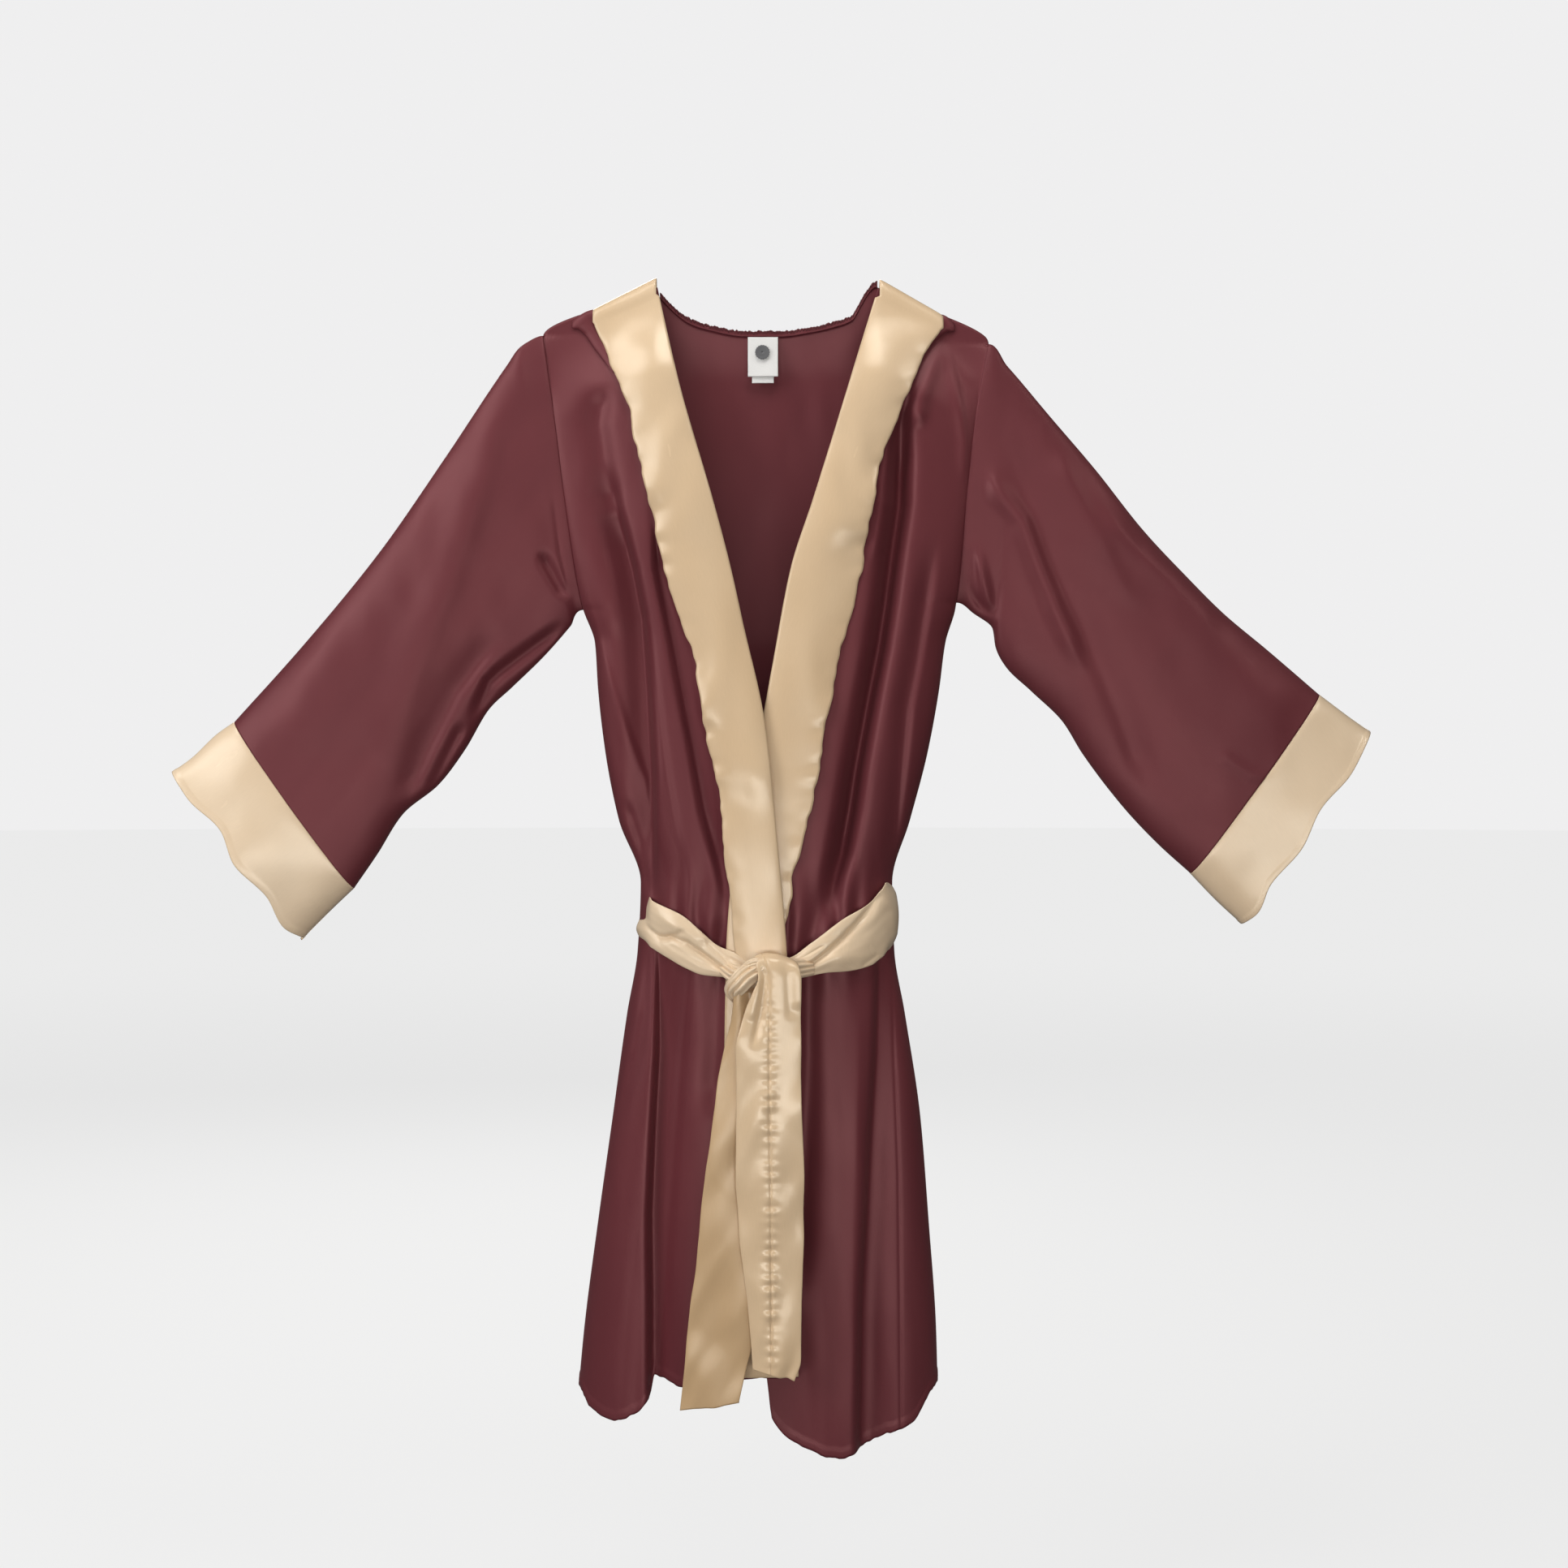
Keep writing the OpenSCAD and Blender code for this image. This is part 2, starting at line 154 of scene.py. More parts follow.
NECK_END_Z = -3

# Folds: path of (x, z) points, depth (+ inwards), and half widths towards -X and +X of a path that
# goes down
FRONT_FOLDS = [
    # wearer's right, above the belt
    ([(-152, -96), (-157, -138), (-150, -181), (-142, -225)], 9, 15, 10),
    ([(-150, -170), (-137, -231), (-125, -277), (-116, -323), (-111, -392), (-107, -468),
     (-106, -545), (-105, -610)], 31, 21, 5.5),
    ([(-101, -190), (-98, -278), (-83, -354), (-68, -430), (-54, -506), (-41, -552), (-30, -604)],
     12, 5, 15),
    ([(-173, -277), (-162, -323), (-149, -369), (-130, -430), (-113, -476), (-107, -525)], -4.5,
     9, 4),
    ([(-132, -492), (-118, -537), (-109, -590)], 6, 6, 5),
    # wearer's left, above the belt
    ([(135, -80), (132, -124), (132, -170), (130, -216), (123, -262), (117, -308), (110, -353),
     (102, -392), (95, -430), (88, -468), (82, -507), (75, -545), (65, -583), (50, -635)], 31, 10,
     9),
    ([(166, -240), (153, -315), (146, -361), (137, -407), (132, -461), (127, -522), (121, -600)],
     8, 10, 5),
    ([(174, -52), (184, -98), (193, -152), (194, -200)], -5, 6, 5),
    ([(174, -56), (161, -87), (151, -114), (146, -145)], -6, 8, 8),
    ([(160, -58), (185, -75), (206, -100)], -3, 5, 5),
    ([(120, -140), (112, -220), (104, -275)], -3, 5, 5),
    # skirt, wearer's right
    ([(-97, -560), (-97, -735), (-101, -811), (-104, -887), (-103, -963), (-102, -1400)], 21, 4.5,
     24),
    ([(-102, -570), (-112, -697), (-119, -735), (-130, -773), (-144, -825)], 5, 5, 8),
    ([(-138, -600), (-142, -900), (-140, -1500)], -8, 22, 22),
    ([(-42, -600), (-44, -720), (-50, -800)], 6, 14, 10),
    # skirt, wearer's left
    ([(43, -600), (43, -735), (40, -811), (36, -900), (34, -980)], 9, 10, 12),
    ([(114, -560), (109, -735), (104, -811), (100, -887), (97, -933), (95, -978), (94, -1032),
     (90, -1400)], 19, 4.5, 26),
    ([(92, -640), (84, -900), (78, -1500)], -8, 26, 12),
    ([(122, -600), (125, -735), (129, -850), (130, -964), (132, -1500)], 1.6, 1.8, 1.8)]
BACK_FOLDS = [
    ([(-120, -90), (-60, -600)], 9, 22, 14), ([(110, -90), (50, -600)], 9, 14, 22),
    ([(0, -340), (0, -640)], 5, 26, 26),
    ([(-105, -560), (-140, -1500)], -9, 20, 12), ([(-60, -560), (-86, -1500)], 9, 12, 18),
    ([(-16, -560), (-26, -1500)], -8, 18, 10), ([(28, -560), (44, -1500)], 9, 18, 10),
    ([(66, -560), (100, -1500)], -9, 12, 18), ([(108, -560), (150, -1500)], 8, 16, 10)]


def creases(x, z, folds):
    """Sum of soft folds along broken lines; each one fades over its end fifths."""
    x, z = np.broadcast_arrays(x, z)
    total = np.zeros(x.shape)
    for path, depth, left, right in folds:
        points = np.array(path, float)
        steps = np.diff(points, axis=0)
        lengths = np.hypot(*steps.T)
        best, across, along, done = np.full(x.shape, 1e9), 0.0, 0.0, 0.0
        for (px, pz), (dx, dz), length in zip(points, steps, lengths):
            t = np.clip(((x - px) * dx + (z - pz) * dz) / length ** 2, 0, 1)
            ex, ez = x - px - t * dx, z - pz - t * dz
            d = np.hypot(ex, ez)
            near = d < best
            best = np.where(near, d, best)
            across = np.where(near, np.sign(dx * ez - dz * ex) * d, across)
            along = np.where(near, done + t * length, along)
            done += length
        q = along / done
        w = across / np.where(across > 0, right, left)
        total += depth * ease(5 * q) * ease(5 * (1 - q)) * np.exp(-w * w)
    return total


def shoulder_z(x):
    def drop(side):
        (tip_x, tip_z), end_x = TIP[side], NECK_END[side]
        return (tip_z - NECK_END_Z) * np.maximum(0, side * (x - end_x)) / abs(tip_x - end_x)
    return NECK_END_Z + np.where(x < 0, drop(RIGHT), drop(LEFT))


def round_out(x, z):
    """1 across the middle of the body, 0 at its side seams."""
    a = (x - SIDE_R(z)) / (SIDE_L(z) - SIDE_R(z))
    return np.sqrt(np.maximum(0, 1 - np.minimum(1, abs(2 * a - 1)) ** 2.6))


def armhole(x, z):
    """Half the depth of the armhole at a height, and none below it."""
    tip = np.where(x < 0, TIP[RIGHT][1], TIP[LEFT][1])
    pit = np.where(x < 0, PIT[RIGHT], PIT[LEFT])
    f = np.clip((tip - z) / (tip - pit), 0, 1)
    return ARMHOLE_DEPTH * 2 * np.sqrt(f * (1 - f))


def seam_dip(x, z):
    """The cloth dips by up to 1.6 mm into the armhole and side seams."""
    d = np.minimum(x - SIDE_R(z), SIDE_L(z) - x)
    return 1.6 * np.exp(-np.maximum(d, 0) / 3.5)


def under_band(x, z, side):
    """1 where a panel lies under its own band, which keeps it smooth."""
    if side < 0:
        return ease((x - BAND_R_OUT(z) + 5) / 12)
    return ease((BAND_L_OUT(z) + 5 - x) / 12)


def base_y(x, z, relief=0):
    """Front surface without folds; relief is added over its middle."""
    p = round_out(x, z)
    body = p * (relief - FRONT_DEPTH(z)) * ease((shoulder_z(x) - z) / 90)
    return -HALF_GAP - armhole(x, z) * (1 - p) ** 2.5 + body + seam_dip(x, z)


def front_y(x, z, side):
    gather = 2.4 * np.sin(x / 3.3 + 1.4 * noise(x / 30, z / 60, 5))
    gather = gather * np.exp(-((z + 612) / 40) ** 2)
    drape = 1.6 * noise(x / 34, z / 150, 11) + 0.5 * noise(x / 13, z / 60, 12)
    relief = creases(x, z, FRONT_FOLDS) + gather + drape
    return base_y(x, z, relief * (1 - under_band(x, z, side)))


def back_y(x, z):
    p = round_out(x, z)
    gather = 2.2 * np.sin(x / 3.6 + 1.2 * noise(x / 30, z / 60, 6))
    gather = gather * np.exp(-((z + 606) / 50) ** 2)
    drape = 1.6 * noise(x / 38, z / 160, 21) + 0.5 * noise(x / 14, z / 60, 22)
    body = REAR_DEPTH(z) + gather + drape - creases(x, z, BACK_FOLDS)
    body = p * body * ease((shoulder_z(x) - z) / 90)
    return HALF_GAP + armhole(x, z) * (1 - p) ** 2.5 + body - seam_dip(x, z)


def right_layer(x):
    """How far the wearer's right front lies over the left one."""
    return 2 * LAYER * ease((x + 150) / 70)


# ---- meshes

def grid(x, y, z):
    return np.stack(np.broadcast_arrays(x, y, z), -1)


def rolled(thick, across, least=0.12):
    """A strip's thickness, which rolls off at its edges; across runs from -1 to 1."""
    return thick * np.sqrt(np.maximum(least, 1 - across ** 10))


def normals(p, ring):
    rows = np.gradient(p, axis=0)
    if ring:
        cols = (np.roll(p, -1, 1) - np.roll(p, 1, 1)) / 2
    else:
        cols = np.gradient(p, axis=1)
    n = np.cross(rows, cols)
    return n / np.maximum(np.linalg.norm(n, axis=2, keepdims=True), 1e-9)


def grid_faces(r, c, ring, first, turn):
    i, j = np.meshgrid(np.arange(r - 1), np.arange(c if ring else c - 1), indexing="ij")
    k = (j + 1) % c
    quads = np.stack([i * c + j, (i + 1) * c + j, (i + 1) * c + k, i * c + k], -1).reshape(-1, 4)
    return first + (quads[:, ::-1] if turn else quads)


def edge_faces(loop_a, loop_b):
    return np.stack([loop_a[:-1], loop_a[1:], loop_b[1:], loop_b[:-1]], -1)


def cloth(name, p, mat, thick=CLOTH_T, ring=False):
    """A closed sheet about a grid of points p[row, column] in millimetres."""
    r, c = p.shape[:2]
    n = normals(p, ring)
    half = np.broadcast_to(np.asarray(thick, float), (r, c))[..., None] / 2
    verts = np.concatenate([(p + n * half).reshape(-1, 3), (p - n * half).reshape(-1, 3)])
    m = r * c
    ids = np.arange(m).reshape(r, c)
    faces = [grid_faces(r, c, ring, 0, False), grid_faces(r, c, ring, m, True)]
    wrap = (lambda a: np.append(a, a[0])) if ring else (lambda a: a)
    top, low = wrap(ids[0]), wrap(ids[-1])
    faces += [edge_faces(top, top + m), edge_faces(low + m, low)]
    if not ring:
        faces += [edge_faces(ids[:, 0] + m, ids[:, 0]), edge_faces(ids[:, -1], ids[:, -1] + m)]
    faces = np.concatenate(faces)
    # lengths along the cloth, for the weave
    across = np.cumsum(np.linalg.norm(np.diff(p, axis=1, prepend=p[:, :1]), axis=2), axis=1)
    down = np.cumsum(np.linalg.norm(np.diff(p, axis=0, prepend=p[:1]), axis=2), axis=0)
    uv = np.stack([across, -down], -1).reshape(-1, 2) * MM
    return mesh_object(name, verts, faces, np.concatenate([uv, uv]), mat)


def place(name, data):
    ob = bpy.data.objects.new(name, data)
    bpy.context.scene.collection.objects.link(ob)
    return ob


def mesh_object(name, verts, faces, uv, mat):
    me = bpy.data.meshes.new(name)
    me.vertices.add(len(verts))
    me.vertices.foreach_set("co", (np.asarray(verts) * MM).ravel())
    me.loops.add(faces.size)
    me.loops.foreach_set("vertex_index", faces.ravel().astype(np.int32))
    me.polygons.add(len(faces))
    me.polygons.foreach_set("loop_start", np.arange(0, faces.size, faces.shape[1], dtype=np.int32))
    me.polygons.foreach_set("use_smooth", np.ones(len(faces), bool))
    me.update(calc_edges=True)
    layer = me.uv_layers.new(name="cloth")
    layer.data.foreach_set("uv", uv[faces.ravel()].ravel())
    me.validate()
    me.materials.append(mat)
    return place(name, me)


def tube(name, path, radius, mat, sides):
    """A cord of round section along a path of points in millimetres, tapered at both ends."""
    tangent = np.gradient(path, axis=0)
    tangent /= np.linalg.norm(tangent, axis=1, keepdims=True)
    a = np.cross(tangent, [0.31, 0.2, 0.93])    # any way that the path never takes
    a /= np.linalg.norm(a, axis=1, keepdims=True)
    b = np.cross(tangent, a)
    q = np.arange(sides) * 2 * math.pi / sides
    r = np.full(len(path), radius)
    r[0] = r[-1] = radius * 0.15
    ring = np.cos(q)[None, :, None] * a[:, None] + np.sin(q)[None, :, None] * b[:, None]
    verts = (path[:, None] + ring * r[:, None, None]).reshape(-1, 3)
    along = np.cumsum(np.linalg.norm(np.diff(path, axis=0, prepend=path[:1]), axis=1))
    uv = np.stack([np.tile(q, len(path)) * r.mean(), np.repeat(along, sides)], -1) * MM
    return mesh_object(name, verts, grid_faces(len(path), sides, True, 0, False), uv, mat)


# ---- materials

def fill(tree, node, inputs):
    """Give a node's sockets their values, or link other nodes' outputs to them."""
    for key, value in inputs.items():
        if isinstance(value, bpy.types.NodeSocket):
            tree.links.new(value, node.inputs[key])
        else:
            node.inputs[key].default_value = value


def adder(tree):
    """A function that adds a node to a tree and gives one of its outputs."""
    def add(kind, output, inputs={}, **settings):
        node = tree.nodes.new("ShaderNode" + kind)
        for key, value in settings.items():
            setattr(node, key, value)
        fill(tree, node, inputs)
        return node.outputs[output]
    return add


def material(name, surface):
    """A material; surface(add) gives the inputs of its surface."""
    mat = bpy.data.materials.new(name)
    mat.use_nodes = True
    tree = mat.node_tree
    fill(tree, tree.nodes["Principled BSDF"], surface(adder(tree)))
    return mat


def satin(name, base, shade, glint, rough, sheen=0.1, crush=0.25):
    """Polyester satin: a fine diagonal weave, slight slubs, soft colour drift and a long sheen."""
    def surface(add):
        uv = add("UVMap", "UV", uv_map="cloth")

        def mapped(stretch):
            return add("Mapping", "Vector", {"Vector": uv, "Scale": (1, stretch, 1)})

        def speckle(scale, detail, stretch, roughness=0.5):
            return add("TexNoise", "Fac", {"Vector": mapped(stretch), "Scale": scale,
                                           "Detail": detail, "Roughness": roughness})

        drift = add("MapRange", "Result", {"Value": speckle(9, 3, 0.35), "From Min": 0.15,
                                           "From Max": 0.85}, interpolation_type="SMOOTHERSTEP")
        colour = add("Mix", "Result", {"Factor": drift, "A": (*shade, 1), "B": (*base, 1)},
                     data_type="RGBA")
        slubbed = add("Mix", "Result", {"Factor": 0.08, "A": colour, "B": speckle(1500, 2, 0.06)},
                      data_type="RGBA", blend_type="MULTIPLY")
        gloss = add("MapRange", "Result", {"Value": speckle(40, 3, 0.3), "To Min": rough - 0.05,
                                           "To Max": rough + 0.07})
        threads = add("TexWave", "Fac", {"Vector": mapped(0.35), "Scale": 620, "Distortion": 0.6,
                                         "Detail": 1}, bands_direction="DIAGONAL",
                      wave_type="BANDS")
        weave = add("Bump", "Normal", {"Height": threads, "Strength": 0.1, "Distance": 0.0002})
        crumple = add("Bump", "Normal", {"Height": speckle(30, 1, 0.6, 0.4), "Normal": weave,
                                         "Strength": crush, "Distance": 0.002})
        grain = add("Tangent", "Tangent", direction_type="UV_MAP", uv_map="cloth")
        return {"Base Color": slubbed, "Roughness": gloss, "Normal": crumple, "Tangent": grain,
                "Anisotropic": 0.5, "Specular IOR Level": 0.65, "Specular Tint": (*glint, 1),
                "Sheen Weight": sheen, "Sheen Roughness": 0.4, "Sheen Tint": (*glint, 1)}
    return material(name, surface)


def woven_tape(add):
    """White tape with a fine rib."""
    where = add("TexCoord", "Object")
    rib = add("TexWave", "Fac", {"Vector": where, "Scale": 500}, bands_direction="Z")
    grain = add("TexNoise", "Fac", {"Vector": where, "Scale": 900})
    colour = add("Mix", "Result", {"Factor": grain, "A": (0.80, 0.79, 0.77, 1),
                                   "B": (0.90, 0.89, 0.87, 1)}, data_type="RGBA")
    bump = add("Bump", "Normal", {"Height": rib, "Strength": 0.3, "Distance": 0.0002})
    return {"Base Color": colour, "Normal": bump, "Roughness": 0.6}


WARM = (1, 0.95, 0.85)       # glint of the gold satins
BURGUNDY = satin("burgundy_satin", (0.142, 0.030, 0.037), (0.116, 0.023, 0.030), (1, 0.50, 0.50),
                 0.46, 0.05, crush=0.1)
GOLD = satin("gold_satin", (0.80, 0.595, 0.385), (0.73, 0.52, 0.315), WARM, 0.24, crush=0.08)
# A brighter copy of the gold satin: painted light for the pieces that are lit more strongly, the
# cuffs, the belt wrap and the knot.
GOLD_PALE = satin("gold_satin_pale", (0.88, 0.69, 0.485), (0.82, 0.62, 0.415), WARM, 0.24,
                  crush=0.08)
# A darker copy of the gold satin: painted shade for the rear tail, which lies in shade; it is also
# a little rougher.
GOLD_DULL = satin("gold_satin_dull", (0.64, 0.435, 0.245), (0.56, 0.365, 0.19), (1, 0.93, 0.8),
                  0.33, crush=0.08)
THREAD_R = satin("burgundy_thread", (0.075, 0.014, 0.018), (0.055, 0.010, 0.013),
                 (1, 0.7, 0.7), 0.6)
THREAD_G = satin("gold_thread", (0.60, 0.42, 0.25), (0.52, 0.36, 0.21), WARM, 0.5)
TAPE = material("label_tape", woven_tape)
BADGE = satin("label_thread", (0.13, 0.13, 0.135), (0.10, 0.10, 0.105), (1, 1, 1), 0.55)


# ---- body panels

HEM = 9.0          # height of the turned-up hem
HEM_EXTRA = 1.1    # and what it adds to the thickness


def hemmed(p):
    """A panel's thickness: more where the hem is turned up."""
    from_hem = np.abs(p[-1:, :, 2] - p[:, :, 2])
    return CLOTH_T + HEM_EXTRA * ease((HEM - from_hem) / 2.0)


def panel_grid(rows, cols, top, low, x_at, y_at):
    """Grid from a top edge to a hem. top, low take u; x_at takes u and z; y_at takes x and z."""
    u = np.linspace(0, 1, cols)[None, :]
    t = np.linspace(0, 1, rows)[:, None]
    z = lerp(top(u), low(u), t)
    x = x_at(u, z)
    return grid(x, y_at(x, z), z)


def dress(ob, body, slot, *nodes):
    """Names a piece for the CAD nodes it stands for and hides them; hangs it on its body, or fixes
    it in place if body is not a name. slot is not used.
    """
    if nodes:
        ob.name = nodes[0] + "_cloth"
        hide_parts(*nodes)
    if isinstance(body, str):
        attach(ob, body)
    else:
        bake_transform(ob)


def front_panel(name, sign, side, edge, hem):
    def x_at(u, z):
        return lerp(side(z), edge(z), u * u * (2 - u))

    def y_at(x, z):
        return front_y(x, z, sign) - (right_layer(x) if sign < 0 else 0)

    def low(u):
        return hem(x_at(u, np.array(-1060.0))) + 0.8 * noise(60 * u, 0, 31)
    p = panel_grid(440, 170, lambda u: lerp(TIP[sign][1], -4, u), low, x_at, y_at)[:, ::sign]
    dress(cloth(name, p, BURGUNDY, hemmed(p)), "robe", "burgundy_satin", name)


def back_panel():
    def top(u):
        x = lerp(TIP[RIGHT][0], TIP[LEFT][0], swing(math.pi * u))
        return np.where((x < -105) | (x > NECK_END[LEFT]), shoulder_z(x), BACK_NECK(x) - 3)

    def low(u):
        return HEM_BACK(lerp(-178, 168, swing(math.pi * u))) + 0.8 * noise(60 * u, 0, 32)
    p = panel_grid(400, 210, top, low,
                   lambda u, z: lerp(SIDE_R(z), SIDE_L(z), swing(math.pi * u)), back_y)
    dress(cloth("back_panel", p, BURGUNDY, hemmed(p)), "robe", "burgundy_satin", "back_panel")


# ---- stitching

STITCH_PITCH, STITCH_LENGTH, STITCH_RADIUS, STITCH_SIDES = 3.4, 2.4, 0.28, 6
STITCH_SHAPE = ((0, 0.35), (0.2, 1), (0.8, 1), (1, 0.35))    # way along, share of the radius


def stitches(name, path, out):
    """A row of gold stitches along a path; out is the way each one stands off the cloth."""
    s = np.concatenate([[0], np.cumsum(np.linalg.norm(np.diff(path, axis=0), axis=1))])

    def at(where, rows):
        return np.stack([np.interp(where, s, rows[:, axis]) for axis in range(3)], -1)
    verts, faces = [], []
    q = np.arange(STITCH_SIDES) * 2 * math.pi / STITCH_SIDES
    for start in np.arange(STITCH_PITCH / 2, s[-1] - STITCH_PITCH, STITCH_PITCH):
        a, b, n = at(start, path), at(start + STITCH_LENGTH, path), at(start, out)
        n = n / np.linalg.norm(n)
        side = np.cross((b - a) / np.linalg.norm(b - a), n)
        faces.append(grid_faces(len(STITCH_SHAPE), STITCH_SIDES, True,
                                len(verts) * STITCH_SIDES, False))
        for t, share in STITCH_SHAPE:
            centre = lerp(a, b, t) + n * STITCH_RADIUS * 0.6 * share
            ring = np.cos(q)[:, None] * side + np.sin(q)[:, None] * n
            verts.append(centre + ring * STITCH_RADIUS * share)
    verts = np.concatenate(verts)
    return mesh_object(name, verts, np.concatenate(faces), verts[:, [0, 2]] * MM, THREAD_G)


# ---- bands

SHOULDER_LAP = 9      # a band leaves the front and the back this far below the shoulder line
REAR_GAP = LAYER + 3  # a band's distance behind the back panel


def front_band(name, sign, inner, outer, hem):
    """Band from behind the shoulder, over it, and down the free edge."""
    w = np.linspace(0, 1, 30)[None, :]      # 0 at the outer edge
    top_x = lerp(outer(0), inner(0), w)
    top = shoulder_z(top_x) - SHOULDER_LAP
    low = hem(lerp(outer(-1040), inner(-1040), w)) + 2
    z = lerp(top, low, np.linspace(0, 1, 460)[:, None] ** 1.02)
    fade = ease((-30 - z) / 40)
    seam = np.exp(-(w / 0.10) ** 2)
    scallop = (1.9 * noise(z / 21, sign, 41) + 1.0 * noise(z / 9, sign, 42)) * seam * fade
    x = lerp(outer(z), inner(z), w) + sign * scallop
    pucker = 0.8 * noise(z / 11, w * 2.2, 43) * np.exp(-(w / 0.2) ** 2) * fade
    calm = 1 - 0.85 * ease((-z - 400) / 70) * (sign > 0)   # where the other band lies over it
    wander = 2 * noise(z / 90, w, 44)
    ripple = (1.9 * np.sin(z / 37 + 2.4 * w + wander + sign)
              + 1.1 * np.sin(z / 16 - 3.1 * w + 2 * wander) + 0.9 * noise(z / 50, w * 2.5, 45))
    ripple = ripple * (0.6 + 0.4 * noise(z / 110, 0, 46 + sign)) * fade * calm
    crown = 4.4 * np.sin(math.pi * w) * fade * calm
    loose = 3 * ease((z + 320) / 120) + 1.6
    lift = LAYER + (right_layer(x) if sign < 0 else 0)
    y = base_y(x, z) - lift - loose - crown - ripple - pucker
    if sign < 0:    # its free edge stands off the band that it covers
        y = y - 3.5 * ease((-z - 370) / 70) * ease((w - 0.45) / 0.5)
    front = grid(x, y, z)
    # over the shoulder and down behind it
    a = np.linspace(0, math.pi, 22)[:-1, None]
    y_rear = back_y(top_x, top) + REAR_GAP
    arc = grid(top_x, lerp(y[:1], y_rear, swing(a)), top + lerp(13, 17, w) * np.sin(a))
    drop = np.linspace(0, 22, 14)[:, None]
    rear = grid(top_x, back_y(top_x, top - drop) + REAR_GAP + 0.4 * drop, top - drop)
    p = np.concatenate([rear[::-1], arc[::-1], front[1:]])[:, ::sign]
    thick = rolled(BAND_T, np.linspace(-1, 1, p.shape[1])[None, :])
    dress(cloth(name, p, GOLD, thick), "robe", "gold_satin", name)
    p = p[36:]                      # from where the band has turned to the front
    column = 2 if sign > 0 else -3  # two columns in from the outer edge
    out = normals(p, False)[:, column]
    dress(stitches(name + "_stitches", p[:, column] + out * BAND_T / 2, out), "robe", "gold_satin")


# ---- sleeves and cuffs

# Edges: way along the sleeve, x, z. wave: the cuff's opening, by the way round it
SLEEVES = {
    -1: dict(
        top=[(0, -211, -50), (0.05, -232, -60), (0.1, -246, -79), (0.3, -306, -169),
            (0.5, -367, -257), (0.75, -438, -344), (1, -507, -421)],
        low=[(0, -173, -313), (0.05, -183, -326), (0.16, -210, -357), (0.28, -242, -388),
            (0.37, -263, -408), (0.48, -287, -448), (0.6, -312, -481), (0.72, -346, -509),
            (0.85, -371, -548), (1, -393, -580)],
        cuff_top=[(0, -507, -421), (0.3, -524, -433), (0.7, -548, -456), (1, -566, -469)],
        cuff_low=[(0, -393, -580), (0.5, -414, -600), (1, -443, -629)],
        wave=[(0, 0), (0.15, 1), (0.38, -7), (0.55, 2), (0.75, -3), (0.9, 4), (1, -2)],
        folds=[
            ([(-253, -97), (-262, -167), (-274, -213), (-293, -275), (-317, -337), (-340, -399),
             (-355, -468)], -5, 28, 15),
            ([(-196, -205), (-191, -260), (-181, -298)], 5, 4, 4),
            ([(-185, -205), (-179, -260), (-173, -295)], -4, 4, 4),
            ([(-214, -258), (-193, -294), (-172, -305)], 6, 5, 6),
            ([(-186, -324), (-224, -352), (-253, -374), (-262, -383), (-279, -424)], 8, 5, 8),
            ([(-284, -420), (-305, -460), (-322, -492)], 5, 6, 5),
            ([(-246, -330), (-293, -391), (-324, -453), (-348, -510)], 6, 16, 9),
            ([(-330, -260), (-400, -350), (-470, -470)], -3, 40, 40)]),
    1: dict(
        top=[(0, 218, -58), (0.05, 232, -76), (0.09, 245, -91), (0.19, 275, -127),
            (0.34, 320, -180), (0.49, 364, -236), (0.62, 403, -278), (0.74, 442, -317),
            (0.86, 484, -352), (1, 534, -395)],
        low=[(0, 185, -306), (0.06, 205, -318), (0.1, 221, -331), (0.14, 224, -349),
            (0.2, 234, -368), (0.3, 258, -391), (0.42, 288, -420), (0.55, 308, -452),
            (0.75, 347, -503), (0.88, 380, -538), (1, 411, -566)],
        cuff_top=[(0, 534, -395), (0.5, 558, -413), (1, 583, -431)],
        cuff_low=[(0, 411, -566), (0.5, 436, -592), (1, 460, -614)],
        wave=[(0, 0), (0.2, 3), (0.42, -4), (0.6, 3), (0.8, -2), (0.92, 4), (1, 0)],
        folds=[
            ([(213, -60), (201, -136), (195, -198), (190, -270)], -5, 4, 9),
            ([(198, -165), (213, -190), (247, -229), (278, -314), (309, -380)], -6, 10, 9),
            ([(188, -230), (205, -267), (213, -298), (220, -336)], -5, 5, 6),
            ([(232, -146), (271, -260), (301, -321), (325, -375), (356, -453), (390, -515)], 5,
             12, 20),
            ([(278, -160), (309, -229), (332, -275), (353, -314)], -2.5, 15, 9),
            ([(309, -205), (356, -260), (410, -290), (482, -350)], -3, 18, 12),
            ([(430, -450), (464, -472), (484, -477)], -1.6, 5, 5),
            ([(182, -276), (201, -302), (223, -323)], 5, 4, 5),
            ([(320, -190), (420, -330), (510, -450)], -5, 45, 40)]),
}


SLEEVE_BLEND = 165     # length of a stretch along the arm out from the armhole, which dress is given but does not use


def edges(table):
    return curve([(v, x) for v, x, z in table]), curve([(v, z) for v, x, z in table])


def sleeve_ring(top, low, v, q, depth, folds, seed, near=1.0):
    """Points of a flattened tube; q is 0 at its top edge and pi at its low one."""
    (top_x, top_z), (low_x, low_z) = edges(top), edges(low)
    x, z = lerp(top_x(v), low_x(v), swing(q)), lerp(top_z(v), low_z(v), swing(q))
    face = np.sin(q)
    flat = np.sign(face) * np.abs(face) ** 0.8
    drape = 2.0 * noise(x / 60 + 3 * (face > 0), z / 75, seed)
    drape = drape + 0.7 * noise(x / 22, z / 30, seed + 1)
    relief = (creases(x, z, folds) + drape) * np.minimum(1, np.abs(face) * 1.6) * near
    return x, -flat * depth + relief * np.where(face > 0, 1, -0.7), z


